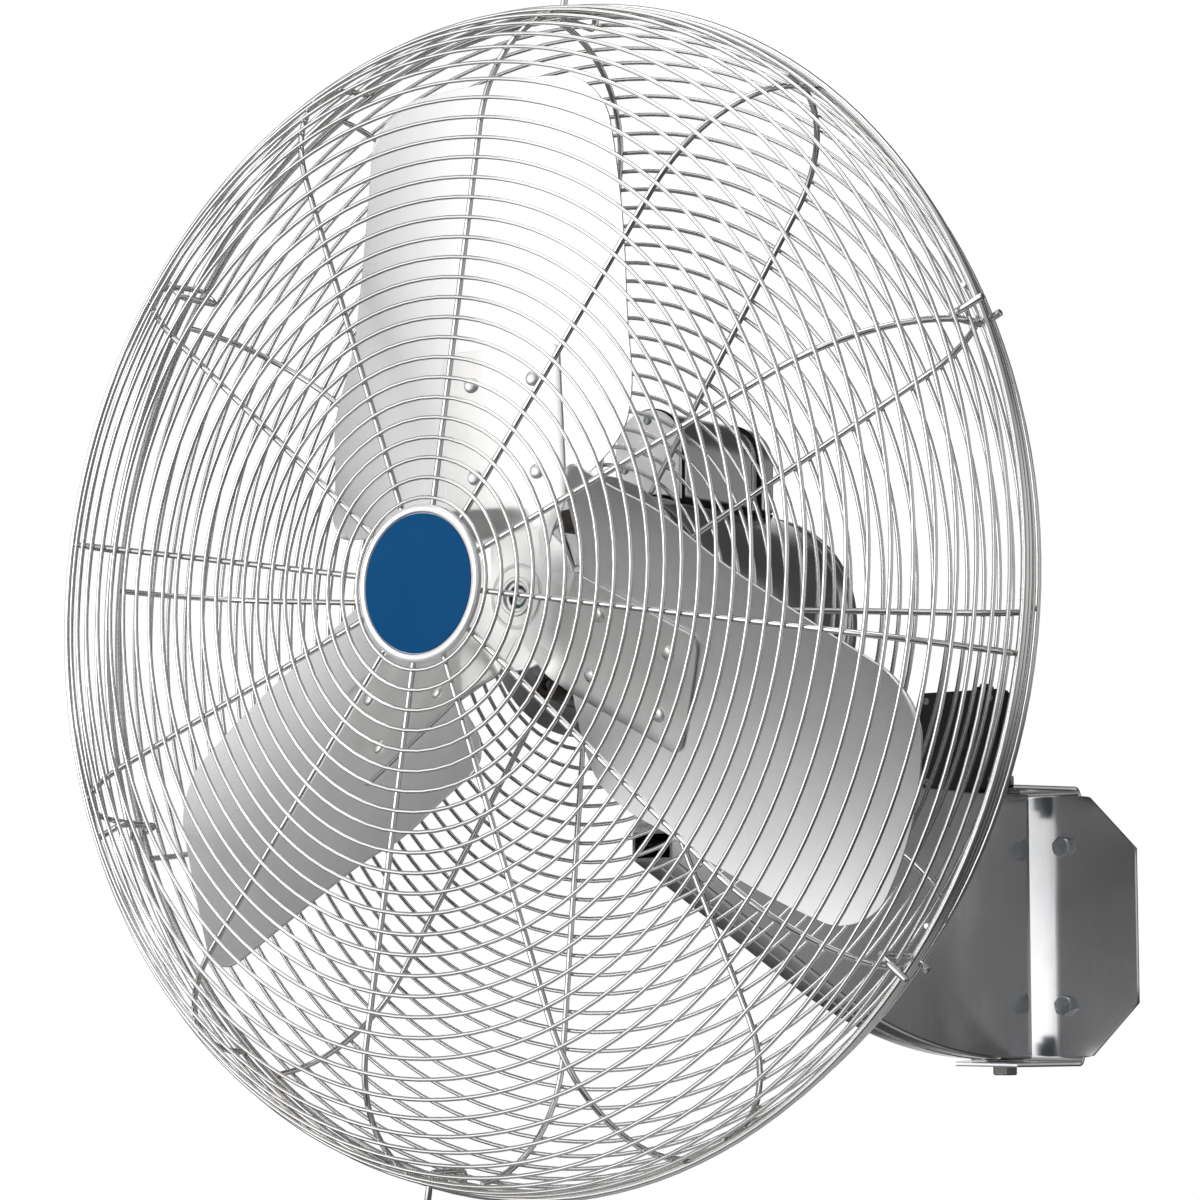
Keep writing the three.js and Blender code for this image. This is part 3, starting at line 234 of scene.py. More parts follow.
# A prism along Y from an outline (x, z), with its edges bevelled.
def prismPiece(name, outline, start, end, bevel=0.6, segments=2):
    outline = np.asarray(outline, float)
    rows = [np.column_stack([outline[:, 0], np.full(len(outline), y), outline[:, 1]]) for y in (start, end)]
    faces = gridFaces(2, len(outline), closeColumns=True) + endCaps(2, len(outline))
    return bevelled(meshPiece(name, np.concatenate(rows), faces), bevel, segments)


# The outline of a plate that lies evenly to either side of the middle, with rounded corners.
def plateOutline(half, low, high, corner, steps=6):
    return filleted([(-half, low), (half, low), (half, high), (-half, high)], corner, steps, True)


def bevelled(piece, width, segments=2, limit=30.0):
    modifier = piece.modifiers.new("edges", "BEVEL")
    modifier.width = width * mm
    modifier.segments = segments
    modifier.limit_method = "ANGLE"
    modifier.angle_limit = math.radians(limit)
    return piece


# Takes the cutter's shape out of a piece and throws the cutter away.
def cutAway(piece, cutter):
    modifier = piece.modifiers.new("cut", "BOOLEAN")
    modifier.object = cutter
    modifier.solver = "EXACT"
    cut = bpy.data.meshes.new_from_object(piece.evaluated_get(bpy.context.evaluated_depsgraph_get()))
    piece.modifiers.clear()
    piece.data = cut
    bpy.data.objects.remove(cutter)
    tidyMesh(piece, 50)


# Rings of points round an axis, from (level, radius) rows.
def ringsGrid(base, axis, rows, segments):
    axis = np.asarray(axis, float) / np.linalg.norm(axis)
    side = np.cross(axis, [0.0, 0.0, 1.0] if abs(axis[2]) < 0.9 else [1.0, 0.0, 0.0])
    side = side / np.linalg.norm(side)
    turn = roundTurn(segments)
    circle = np.cos(turn)[:, None] * side + np.sin(turn)[:, None] * np.cross(axis, side)
    return np.array([np.asarray(base) + axis * level + radius * circle for level, radius in rows])


# A hexagon head or nut with the chamfer that a lathe leaves on it, along any axis.
def hexagonGrid(base, axis, flats, height, bothEnds=False, twist=0.0):
    segments = 72
    turn = roundTurn(segments)
    corner = flats / 2 / np.cos((turn + twist + math.pi / 6) % (math.pi / 3) - math.pi / 6)
    wide = flats / math.sqrt(3)
    narrow = flats / 2 * 0.94
    cut = (wide - narrow) * math.tan(math.radians(30))
    levels = [(0.0, narrow * 0.5)]
    if bothEnds:
        levels += [(0.0, narrow)] + [(cut * t, narrow + (wide - narrow) * t) for t in (0.3, 0.6, 1.0)]
    else:
        levels += [(0.0, wide)]
    levels += [(height - cut * t, narrow + (wide - narrow) * t) for t in (1.0, 0.6, 0.3, 0.0)]
    levels += [(height - 0.15, narrow * 0.82), (height - 0.35, narrow * 0.5)]
    rows = [(level, np.minimum(corner, limit)[:, None]) for level, limit in levels]
    return ringsGrid(base, axis, rows, segments)


# A threaded rod's end: grooves run round it at an even pitch.
def threadGrid(base, axis, radius, length, pitch):
    depth, point = 0.5, 1.2
    rows = []
    count = max(2, int(length / pitch * 4))
    for i in range(count + 1):
        level = length * i / count
        ripple = depth * (0.5 - 0.5 * math.cos(fullTurn * level / pitch))
        rows.append((level, radius - ripple - max(0.0, 1 - (length - level) / point)))
    return ringsGrid(base, axis, rows, 32)


def discGrid(base, axis, radius, height, edge=0.4):
    profile = [(0.02, 0, 0), (radius, 0, edge), (radius, height, edge), (0.02, height, 0)]
    return ringsGrid(base, axis, [(level, reach) for reach, level in filleted(profile, edge, 3)], 48)


# ---- Node helpers ----

class Signal:  # a node's socket, which takes part in sums
    def __init__(self, tree, socket):
        self.tree = tree
        self.socket = socket

    def sum(self, operation, *values):
        return self.tree.node("Math", {"operation": operation}, dict(enumerate(values)))

    def __add__(self, other):
        return self.sum("ADD", self, other)

    def __radd__(self, other):
        return self.sum("ADD", other, self)

    def __sub__(self, other):
        return self.sum("SUBTRACT", self, other)

    def __rsub__(self, other):
        return self.sum("SUBTRACT", other, self)

    def __mul__(self, other):
        return self.sum("MULTIPLY", self, other)


class Tree:  # the nodes of one material or of the world
    def __init__(self, owner):
        owner.use_nodes = True
        self.owner = owner
        self.nodes = owner.node_tree.nodes
        self.links = owner.node_tree.links
        self.nodes.clear()

    def node(self, kind, settings=None, values=None, out=0):
        made = self.nodes.new("ShaderNode" + kind)
        for key, value in (settings or {}).items():
            setattr(made, key, value)
        for key, value in (values or {}).items():
            if isinstance(value, Signal):
                self.links.new(value.socket, made.inputs[key])
            else:
                made.inputs[key].default_value = value
        return Signal(self, made.outputs[out]) if len(made.outputs) else None

    def between(self, value, low, high):  # 0 at low, 1 at high, held beyond
        return self.node("MapRange", {"clamp": True}, {0: value, 1: low, 2: high, 3: 0.0, 4: 1.0})

    def blend(self, mask, first, second):  # of two colours
        return self.node("Mix", {"data_type": "RGBA"}, {0: mask, 6: first, 7: second}, out=2)

    def place(self, stretch=(1.0, 1.0, 1.0), turn=(0.0, 0.0, 0.0)):
        where = self.node("TexCoord", out=3)
        return self.node("Mapping", {}, {0: where, 2: turn, 3: stretch})

    def noise(self, vector, scale, detail=3.0, rough=0.55):
        values = {"Vector": vector, "Scale": scale, "Detail": detail, "Roughness": rough}
        return self.node("TexNoise", {"normalize": True}, values)


# A metal sheet or wire: cloudy tone, brushed grain, smudges and fine flecks over its own coordinates.
def metalFinish(name, ownLook):
    look = {**plainMetal, **ownLook}
    dark, light = (*look["dark"], 1.0), (*look["light"], 1.0)
    deep = (*[0.55 * c for c in look["dark"]], 1.0)
    tree = Tree(bpy.data.materials.new(name))
    cloud = tree.noise(tree.place(), look["cloudScale"], 4.0)
    grain = tree.noise(tree.place(look["grainStretch"]), look["grainScale"], 3.0, 0.6)
    smudge = tree.between(tree.noise(tree.place(), look["cloudScale"] * 2.7, 3.0, 0.5), 0.48, 0.72)
    fleck = tree.noise(tree.place((1.0, 1.0, 1.0), (0.4, 0.7, 0.2)), look["fleckScale"], 2.0)
    tone = tree.between(cloud + (grain - 0.5) * look["grainTone"], 0.3, 0.7)
    colour = tree.blend(tone, dark, light)
    colour = tree.blend(tree.between(fleck, 0.66, 0.78) * look["fleckTone"], colour, deep)
    rough = look["rough"] + (cloud - 0.5) * look["roughSpread"] + (grain - 0.5) * look["grainRough"]
    bump = tree.node("Bump", {}, {"Strength": look["bump"], "Distance": look["bumpDepth"] * mm,
                                  "Height": grain * 0.7 + cloud * 0.3})
    shader = tree.node("BsdfPrincipled", {}, {"Base Color": colour, "Metallic": look["metal"],
                                              "Roughness": rough + smudge * look["smudge"], "Normal": bump})
    tree.node("OutputMaterial", {}, {"Surface": shader})
    return tree.owner


# A moulded or cast piece that isn't metal: fine texture, worn to a lighter tone in places.
def mouldedFinish(name, look):
    dark, light, dustColour = [(*look[key], 1.0) for key in ("dark", "light", "dustColour")]
    tree = Tree(bpy.data.materials.new(name))
    grain = tree.noise(tree.place(), look["grainScale"], 4.0, 0.6)
    cloud = tree.noise(tree.place(), look["cloudScale"], 3.0)
    dust = tree.between(tree.noise(tree.place(), look["cloudScale"] * 4, 5.0, 0.7), 0.55, 0.85)
    colour = tree.blend(tree.between(cloud, 0.3, 0.7), dark, light)
    colour = tree.blend(dust * look["dust"], colour, dustColour)
    rough = look["rough"] + (grain - 0.5) * look["roughSpread"] + dust * 0.1
    bump = tree.node("Bump", {}, {"Strength": look["bump"], "Distance": look["bumpDepth"] * mm,
                                  "Height": grain})
    shader = tree.node("BsdfPrincipled", {}, {"Base Color": colour, "Roughness": rough, "Normal": bump,
                                              "Specular IOR Level": look["shine"]})
    tree.node("OutputMaterial", {}, {"Surface": shader})
    return tree.owner


plainMetal = {"metal": 1.0, "grainRough": 0.03, "smudge": 0.05, "grainStretch": (1.0, 1.0, 1.0),
              "grainTone": 0.2, "bump": 0.02, "bumpDepth": 0.1, "fleckScale": 900.0}
metalLooks = {
    "wire": {"dark": (0.6, 0.59, 0.58), "light": (0.74, 0.735, 0.73), "rough": 0.16, "roughSpread": 0.08,
             "cloudScale": 9.0, "grainScale": 90.0, "fleckTone": 0.05},
    "blade": {"dark": (0.63, 0.632, 0.636), "light": (0.72, 0.722, 0.726), "rough": 0.31,
              "roughSpread": 0.09, "grainRough": 0.04, "smudge": 0.04, "cloudScale": 5.0,
              "grainScale": 260.0, "grainStretch": (1.0, 1.0, 0.1), "grainTone": 0.16, "fleckTone": 0.0},
    "spider": {"dark": (0.61, 0.605, 0.595), "light": (0.75, 0.745, 0.735), "rough": 0.32,
               "roughSpread": 0.1, "cloudScale": 16.0, "grainScale": 240.0, "grainStretch": (0.3, 1.0, 0.3),
               "grainTone": 0.12, "bump": 0.01, "fleckTone": 0.0},
    "motor": {"dark": (0.5, 0.51, 0.53), "light": (0.6, 0.61, 0.63), "rough": 0.2, "roughSpread": 0.08,
              "cloudScale": 8.0, "grainScale": 200.0, "grainStretch": (1.0, 0.3, 1.0), "grainTone": 0.12,
              "bumpDepth": 0.15, "fleckTone": 0.08},
    "bell": {"dark": (0.42, 0.43, 0.44), "light": (0.58, 0.59, 0.6), "rough": 0.34, "roughSpread": 0.14,
             "grainRough": 0.14, "smudge": 0.08, "cloudScale": 12.0, "grainScale": 520.0, "grainTone": 0.5,
             "bump": 0.25, "bumpDepth": 0.4, "fleckTone": 0.2},
    "steel": {"dark": (0.5, 0.503, 0.515), "light": (0.6, 0.6, 0.605), "rough": 0.17, "roughSpread": 0.09,
              "smudge": 0.06, "cloudScale": 6.0, "grainScale": 300.0, "grainStretch": (1.0, 1.0, 0.06),
              "bumpDepth": 0.15, "fleckScale": 260.0, "fleckTone": 0.2},
    "zinc": {"dark": (0.33, 0.37, 0.39), "light": (0.52, 0.56, 0.575), "rough": 0.3, "roughSpread": 0.12,
             "grainRough": 0.12, "smudge": 0.1, "cloudScale": 90.0, "grainScale": 600.0, "grainTone": 0.6,
             "bump": 0.2, "bumpDepth": 0.25, "fleckTone": 0.3},
    "core": {"dark": (0.1, 0.095, 0.09), "light": (0.2, 0.19, 0.18), "metal": 0.9, "rough": 0.42,
             "roughSpread": 0.1, "grainRough": 0.15, "smudge": 0.1, "cloudScale": 20.0, "grainScale": 900.0,
             "grainStretch": (0.2, 1.0, 0.2), "grainTone": 0.8, "bump": 0.2, "bumpDepth": 0.3,
             "fleckTone": 0.3},
    "silver": {"dark": (0.74, 0.74, 0.75), "light": (0.86, 0.86, 0.87), "metal": 0.55, "rough": 0.24,
               "roughSpread": 0.06, "grainRough": 0.06, "smudge": 0.04, "cloudScale": 25.0,
               "grainScale": 700.0, "bump": 0.05, "bumpDepth": 0.15, "fleckTone": 0.1},
}
mouldedLooks = {
    "black": {"dark": (0.004, 0.004, 0.0045), "light": (0.009, 0.0085, 0.009), "rough": 0.55,
              "roughSpread": 0.12, "shine": 0.18, "cloudScale": 14.0, "grainScale": 900.0, "bump": 0.2,
              "bumpDepth": 0.2, "dust": 0.08, "dustColour": (0.03, 0.028, 0.026)},
    "brown": {"dark": (0.055, 0.042, 0.032), "light": (0.12, 0.098, 0.08), "rough": 0.5, "roughSpread": 0.2,
              "shine": 0.4, "cloudScale": 60.0, "grainScale": 700.0, "bump": 0.3, "bumpDepth": 0.3,
              "dust": 0.3, "dustColour": (0.22, 0.19, 0.16)},
    "blue": {"dark": (0.0, 0.066, 0.195), "light": (0.0, 0.072, 0.21), "rough": 0.5, "roughSpread": 0.04,
             "shine": 0.06, "cloudScale": 30.0, "grainScale": 1200.0, "bump": 0.03, "bumpDepth": 0.1,
             "dust": 0.02, "dustColour": (0.03, 0.11, 0.25)},
    "nylon": {"dark": (0.62, 0.61, 0.57), "light": (0.72, 0.71, 0.68), "rough": 0.5, "roughSpread": 0.1,
              "shine": 0.5, "cloudScale": 80.0, "grainScale": 900.0, "bump": 0.1, "bumpDepth": 0.2,
              "dust": 0.1, "dustColour": (0.5, 0.48, 0.44)},
}
finishes = {slot: metalFinish(slot + "Finish", look) for slot, look in metalLooks.items()}
finishes.update({slot: mouldedFinish(slot + "Finish", look) for slot, look in mouldedLooks.items()})
print("finishes:", len(finishes))


# Gives a piece its finish and slot, hangs it on its body and hides the solids that it stands for.
def fit(piece, body, slot, *nodes):
    piece.data.materials.clear()
    piece.data.materials.append(finishes[slot])
    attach(piece, body)
    if nodes:
        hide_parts(*nodes)
    return piece


# ---- Wire guard ----

guard = {
    "spokes": 12, "spokeWire": 4.4, "ringWire": 3.0, "rimWire": 6.0, "sides": 10,
    "ringSteps": (48, 144, 0.4),  # the fewest, the most and how many to a millimetre of radius
    "sink": 0.3,  # how far each weld sinks two wires into each other
}
halves = {
    "front": {"side": -1, "plane": place["frontPlane"], "flat": 322.0, "arc": 101.4, "spokeAngle": 21.0,
              "spokeStart": 19.5, "ringStart": 60.2, "rings": 31, "rim": 481.0, "collarWire": 3.0},
    "rear": {"side": 1, "plane": place["rearPlane"], "flat": 329.0, "arc": 92.0, "spokeAngle": 25.3,
             "spokeStart": 89.5, "ringStart": 92.0, "rings": 28, "rim": 461.9, "collarWire": 4.3},
}


# A point of the bowl: how far along the spoke it lies and how far off the bowl, to radius, y and bend.
def bowl(along, lift, half):
    flat, arc, plane, side = [half[key] for key in ("flat", "arc", "plane", "side")]
    bend = np.maximum(0, along - flat) / arc
    radius = np.minimum(along, flat) + arc * np.sin(bend) + lift * np.sin(bend)
    y = plane - side * arc * (1 - np.cos(bend)) + side * lift * np.cos(bend)
    return radius, y, bend


# The rings of a half, from the collar out to the rim, as (distance along the spoke, wire).
def evenRings(half):
    start, end, count = half["ringStart"], half["rim"], half["rings"]
    rings = [(start + (end - start) * i / (count - 1), guard["ringWire"]) for i in range(count)]
    return [(start, half["collarWire"])] + rings[1:-1] + [(end, guard["rimWire"])]


def wireBowl(name, half):
    lump = Lump()
    centre, alongAxis = place["motorFace"], np.array([0.0, 1.0, 0.0])
    spokeLift = -(guard["spokeWire"] / 2 - guard["sink"])
    curved = np.linspace(half["flat"], half["rim"] + guard["rimWire"] / 2, 20)
    stations = np.concatenate([np.linspace(half["spokeStart"], half["flat"], 8), curved[1:]])
    for spoke in range(guard["spokes"]):
        angle = half["spokeAngle"] + 360 / guard["spokes"] * spoke
        outward, across = outwards(angle), np.tile(alongside(angle), (len(stations), 1))
        radius, y, bend = bowl(stations, spokeLift, half)
        centres = centre + radius[:, None] * outward + y[:, None] * alongAxis
        normals = np.sin(bend)[:, None] * outward + half["side"] * np.cos(bend)[:, None] * alongAxis
        wire = np.full(len(stations), guard["spokeWire"] / 2)
        wire[[0, -1]] *= 0.8
        lump.grid(wireGrid(centres, normals, across, wire, guard["sides"]))
    fewest, most, rate = guard["ringSteps"]
    for along, thickness in evenRings(half):
        radius, y, bend = bowl(np.array(along), thickness / 2 - guard["sink"], half)
        count = int(min(most, max(fewest, radius * rate)))
        turn = roundTurn(count)
        outward = np.stack([np.cos(turn), np.zeros(count), np.sin(turn)], axis=-1)
        centres = centre + radius * outward + np.array([0.0, float(y), 0.0])
        up = np.tile(alongAxis, (count, 1))
        lump.grid(wireGrid(centres, outward, up, thickness / 2, guard["sides"]), closeRows=True)
    return lump.piece(name, sharp=60)


for half, values in halves.items():
    fit(wireBowl(half + "_guard_wires", values), "head", "wire", half + "_guard")
print("guard halves")

clip = {"count": 6, "angle": 21.7, "radius": 413.9, "wire": 5.0, "stub": 27.0, "rearStub": 17.0,
        "bend": 5.0, "front": 25.0, "rear": 11.6}


def clipPiece(index):
    outward, radius = outwards(clip["angle"] + 360 / clip["count"] * index), clip["radius"]
    front, rear = place["seam"] - clip["front"], place["seam"] + clip["rear"]
    corners = [(radius + clip["stub"], front), (radius, front), (radius, rear),
               (radius + clip["rearStub"], rear)]
    path = [place["motorFace"] + r * outward + np.array([0.0, y, 0.0]) for r, y in corners]
    path = roundedPath(path, clip["bend"])
    path = np.insert(path, 1, path[0] + (path[1] - path[0]) * 0.03, axis=0)
    path = np.insert(path, -1, path[-1] + (path[-2] - path[-1]) * 0.03, axis=0)
    thick = np.full(len(path), clip["wire"] / 2)
    thick[[0, -1]] -= 0.5
    return gridPiece("guard_clip_wire_%d" % (index + 1), pathWire(path, thick, 14), 50)


for index in range(clip["count"]):
    fit(clipPiece(index), "head", "wire", "guard_clip_%d" % (index + 1))
print("clips")

# ---- Badge ----

badge = {"radius": 55.7, "rim": 6.5, "thickness": 5.0, "recess": 1.6, "post": 7.0}


def badgePieces():
    back = place["frontPlane"] - 0.3
    face = back - badge["thickness"]
    floor = face + badge["recess"]
    radius, post = badge["radius"], badge["post"]
    inner = radius - badge["rim"]
    shell = [(0, floor + 0.5), (inner, floor + 0.5, 0.3), (inner + 0.8, face + 0.5, 0.8),
             (inner + 3.4, face, 2.0), (radius - 0.6, face + 0.9, 1.6), (radius, back, 0.5),
             (post, back, 0.3), (post, back + 5.2, 0.3), (0, back + 5.2)]
    disc = [(0, floor - 0.5), (inner - 0.5, floor - 0.5, 0.3), (inner - 0.3, floor + 0.3, 0.2),
            (0, floor + 0.3)]
    shell = turnedPiece("badge_shell", shell, place["motorFace"], segments=128, steps=5, sharp=40)
    fit(shell, "head", "silver", "badge_body")
    disc = turnedPiece("badge_face", disc, place["motorFace"], segments=128, sharp=40)
    fit(disc, "head", "blue", "badge_disc")


badgePieces()
print("badge")

# ---- Propeller ----

blade = {
    "count": 3,
    "tip": 381.0,
    "thickness": 1.6,
    "root": 68.0,
    "angle": 93.3,
    "corner": 34.0,
    "pitchRoot": (110.0, 19.7),
    "pitchTip": (380.0, 16.2),
    "camberRadius": 476.0,
    "chordRadius": 230.0,
    "chordRun": 170.0,
    "leading": (103.4, -19.5, 3.1),
    "trailing": (105.3, 2.6, -20.9),
    "bulge": (7.0, 138.0, 38.0),  # the blade is wider near its root: how much, where, and over what length
    "rootCut": (52.0, 46.0),  # on the trailing edge
    "rootReach": (18.0, 52.0, 45.0),  # along the leading edge the root runs further in
    "rootCorner": 14.0,
    "rows": 64,
    "columns": 52,
}


def bladePitch(radius):
    (rootRadius, rootAngle), (tipRadius, tipAngle) = blade["pitchRoot"], blade["pitchTip"]
    return np.radians(rootAngle + (tipAngle - rootAngle) * (radius - rootRadius) / (tipRadius - rootRadius))


# The blade's middle surface in its own frame: x out along the blade, y forwards or back, z across it.
def bladePoint(radius, across, lift, pitch=None):
    pitch = bladePitch(radius) if pitch is None else pitch
    lean = pitch + np.arctan(across / blade["camberRadius"])
    y = -across * np.sin(pitch) - across ** 2 / (2 * blade["camberRadius"])
    z = across * np.cos(pitch) + lift * np.sin(lean)
    return np.stack([radius + 0 * y, y + lift * np.cos(lean), z], axis=-1)


def halfChord(radius, leading):
    share = (radius - blade["chordRadius"]) / blade["chordRun"]
    chord, taper, curve = [np.where(leading, a, b) for a, b in zip(blade["leading"], blade["trailing"])]
    bulge, where, run = blade["bulge"]
    length, depth = blade["rootCut"]
    cut = np.where(leading, 0.0, np.maximum(0, 1 - np.maximum(0, radius - blade["root"]) / length))
    belly = bulge * np.exp(-((radius - where) / run) ** 2)
    return chord + taper * share + curve * share ** 2 + belly - depth * cut ** 2


# How far a rounded corner draws the sheet's end back, at a place near the side that the end meets.
def cornerDrop(where, side, corner):
    into = np.maximum(0, where - (side - corner))
    return corner - np.sqrt(np.maximum(0, corner ** 2 - into ** 2))


propellerShift = np.array([0.0, place["propeller"], 0.0])


# Turns points of a blade's frame to its place round the axis.
def onPropeller(points, index):
    angle = math.radians(blade["angle"] - 360 / blade["count"] * index)
    x, y, z = points[..., 0], points[..., 1], points[..., 2]
    cos, sin = math.cos(angle), math.sin(angle)
    at = np.stack([x * cos - z * sin, y, x * sin + z * cos], axis=-1)
    return at + place["motorFace"] + propellerShift


# A closed sheet of even thickness over a grid of (radius, across) places, with a rounded edge.
def sheetGrid(lump, surface, us, vs, thickness):
    half = thickness / 2
    edge = half * 0.3
    rows = []
    for lift, inset in ((-half, edge), (-half * 0.55, 0.0), (half * 0.55, 0.0), (half, edge)):
        rows.append(surface(us, vs, lift, inset))
    count, width = rows[0].shape[:2]
    front, back = rows[0].reshape(-1, 3), rows[3].reshape(-1, 3)
    loop = [(0, c) for c in range(width)] + [(r, width - 1) for r in range(1, count)]
    loop += [(count - 1, c) for c in range(width - 2, -1, -1)] + [(r, 0) for r in range(count - 2, 0, -1)]
    first = len(lump.points)
    lump.points.extend(front.tolist())
    lump.points.extend(back.tolist())
    lump.faces.extend(gridFaces(count, width, first=first))
    lump.faces.extend([tuple(reversed(f)) for f in gridFaces(count, width, first=first + len(front))])
    chains = [[first + r * width + c for r, c in loop]]
    for layer in rows[1:3]:
        start = len(lump.points)
        lump.points.extend([layer[r, c].tolist() for r, c in loop])
        chains.append(list(range(start, start + len(loop))))
    chains.append([first + len(front) + r * width + c for r, c in loop])
    for one, two in zip(chains, chains[1:]):
        for i in range(len(loop)):
            j = (i + 1) % len(loop)
            lump.faces.append((one[i], two[i], two[j], one[j]))


def bladeSurface(us, vs, lift, inset):
    u, v = np.meshgrid(us, vs, indexing="ij")
    spread = np.sin((v - 0.5) * math.pi)
    leading = spread >= 0
    atTip = halfChord(np.array(blade["tip"] - blade["corner"]), leading)
    reach = np.abs(spread) * atTip
    drop = cornerDrop(reach, atTip, blade["corner"])
    end = np.sqrt(blade["tip"] ** 2 - (reach * np.cos(bladePitch(blade["tip"]))) ** 2) - drop - inset
    further, origin, run = blade["rootReach"]
    atRoot = halfChord(np.array(blade["root"]), True)
    start = blade["root"] + inset - further * np.clip((spread * atRoot - origin) / run, 0, 1)
    start = start + cornerDrop(spread * atRoot, atRoot, blade["rootCorner"])
    radius = start + (end - start) * u
    across = spread * (halfChord(radius, leading) - inset)
    return bladePoint(radius, across, lift)


def bladePiece(index):
    lump = Lump()
    us, vs = np.linspace(0, 1, blade["rows"]), np.linspace(0, 1, blade["columns"])
    sheetGrid(lump, bladeSurface, us, vs, blade["thickness"])
    lump.points = onPropeller(np.array(lump.points), index).tolist()
    return lump.piece("blade_sheet_%d" % (index + 1), sharp=50)


for index in range(blade["count"]):
    fit(bladePiece(index), "propeller", "blade", "blade_%d" % (index + 1))
print("blades")

spider = {
    "sheet": 2.2,
    "gap": 0.25,  # between the arms and the blades
    "disc": 54.0,
    "dish": 8.0,  # how far the disc at the middle is set back from the arms
    "neck": (42.0, 66.0),
    "start": 16.0,
    "reach": 181.5,
    "half": 46.0,
    "rootHalf": 26.0,
    "corner": 10.0,
    "lip": 9.0,  # the width of the rounded lip along the arms' trailing edge
    "hub": 14.5,
    "hubFront": 1.5,
    "hubRear": 24.0,
    "shaft": 8.0,
    "shaftNose": 6.2,
    "shaftEnd": 298.0,
    "rivets": ((88.0, -24.0), (88.0, 24.0), (156.0, -24.0), (156.0, 24.0)),
    "rivet": 5.6,
}


def spiderSurface(us, vs, lift, inset):
    u, v = np.meshgrid(us, vs, indexing="ij")
    neckStart, neckEnd = spider["neck"]
    radius = spider["start"] + (spider["reach"] - inset - spider["start"]) * u
    widen = np.clip((radius - spider["start"]) / (neckEnd - spider["start"]), 0, 1)
    rise = np.clip((radius - neckStart) / (neckEnd - neckStart), 0, 1)
    rise = rise * rise * (3 - 2 * rise)
    half = spider["rootHalf"] + (spider["half"] - spider["rootHalf"]) * widen - inset
    beyond = np.clip((radius - (spider["reach"] - spider["corner"])) / spider["corner"], 0, 1)
    across = (2 * v - 1) * (half - spider["corner"] * (1 - np.sqrt(1 - beyond ** 2)))
    front = blade["thickness"] / 2 + spider["gap"] + spider["sheet"] / 2
    # The front falls away to the blade in a rounded lip along the trailing edge.
    intoLip = np.clip((-across - (spider["half"] - spider["lip"])) / spider["lip"], 0, 1) * rise
    fall = (spider["sheet"] - 1.0) * (1 - np.sqrt(1 - (intoLip * 0.98) ** 2)) * (lift < 0)
    points = bladePoint(radius, across, lift - front + fall, bladePitch(radius) * rise)
    points[..., 1] += spider["dish"] * (1 - rise)
    return points


# A domed rivet head on the spider's front, at a place of the blade's frame.
def rivetGrid(radius, across):
    lift = -(blade["thickness"] / 2 + spider["gap"] + spider["sheet"])
    radius, across = np.array(radius), np.array(across)
    seat = bladePoint(radius, across, lift)
    axis = bladePoint(radius, across, lift - 1) - seat
    side = np.cross(axis, [1.0, 0.0, 0.0])
    side /= np.linalg.norm(side)
    turn = roundTurn(28)[:, None]
    circle = np.cos(turn) * side + np.sin(turn) * np.cross(axis, side)
    dome = ((-0.8, 1.0), (0.3, 1.0), (1.1, 0.93), (1.9, 0.76), (2.4, 0.5), (2.6, 0.22), (2.63, 0.02))
    return np.array([seat + axis * level + reach * spider["rivet"] * circle for level, reach in dome])


def spiderPieces():
    lump = Lump()
    neckEnd = (spider["neck"][1] - spider["start"]) / (spider["reach"] - spider["start"])
    us = np.concatenate([np.linspace(0, neckEnd, 20), np.linspace(neckEnd, 0.93, 14)[1:],
                         np.linspace(0.93, 1, 10)[1:]])
    vs = np.concatenate([np.linspace(0, 0.11, 12), np.linspace(0.11, 1, 24)[1:]])
    for index in range(blade["count"]):
        arm = Lump()
        sheetGrid(arm, spiderSurface, us, vs, spider["sheet"])
        first = len(lump.points)
        lump.points.extend(onPropeller(np.array(arm.points), index).tolist())
        lump.faces.extend([tuple(first + i for i in face) for face in arm.faces])
    hubPlace = place["motorFace"] + propellerShift
    back = spider["dish"] - blade["thickness"] / 2 - 0.8
    face = back - spider["sheet"]
    disc, hub, rear, rod, nose = [spider[key] for key in ("disc", "hub", "hubRear", "shaft", "shaftNose")]
    plate = [(12.0, back), (disc, back, 0.8), (disc, face, 1.2), (24.0, face, 0.8), (22.5, face + 0.5, 0.5),
             (21.0, face, 0.8), (12.0, face, 0)]
    turned(lump, plate, hubPlace, 0.4, 96)
    fit(lump.piece("spider_plate", sharp=40), "propeller", "spider", "hub_spider")
    front = face - spider["hubFront"]
    bore = rod + 0.3
    hub = [(bore, front + 2.6, 0.5), (10.9, front + 2.6, 0.3), (11.3, front, 0.7), (hub, front, 1.0),
           (hub, face + 0.4, 0.3), (hub, rear, 0.8), (bore, rear, 0.8)]
    fit(turnedPiece("spider_hub", hub, hubPlace, 0.4), "propeller", "spider")
    # The shaft's nose is thinner than the hub's bore, which leaves a dark gap round it.
    shaft = [(0, front + 4.6), (2.2, front + 4.6, 0.3), (2.8, front + 4.0, 0.3), (5.4, front + 4.0, 0.4),
             (nose, front + 4.8, 0.3), (nose, front + 11.0, 0.2), (rod, front + 11.0, 0.3),
             (rod, spider["shaftEnd"], 0.5), (0, spider["shaftEnd"])]
    fit(turnedPiece("shaft_rod", shaft, hubPlace, 0.3, 48), "propeller", "zinc", "shaft")
    for index in range(blade["count"]):
        rivets = Lump()
        for radius, across in spider["rivets"]:
            rivets.grid(onPropeller(rivetGrid(radius, across), index))
        fit(rivets.piece("spider_rivets_%d" % (index + 1), sharp=60), "propeller", "spider")


spiderPieces()
print("spider")

# ---- Motor ----

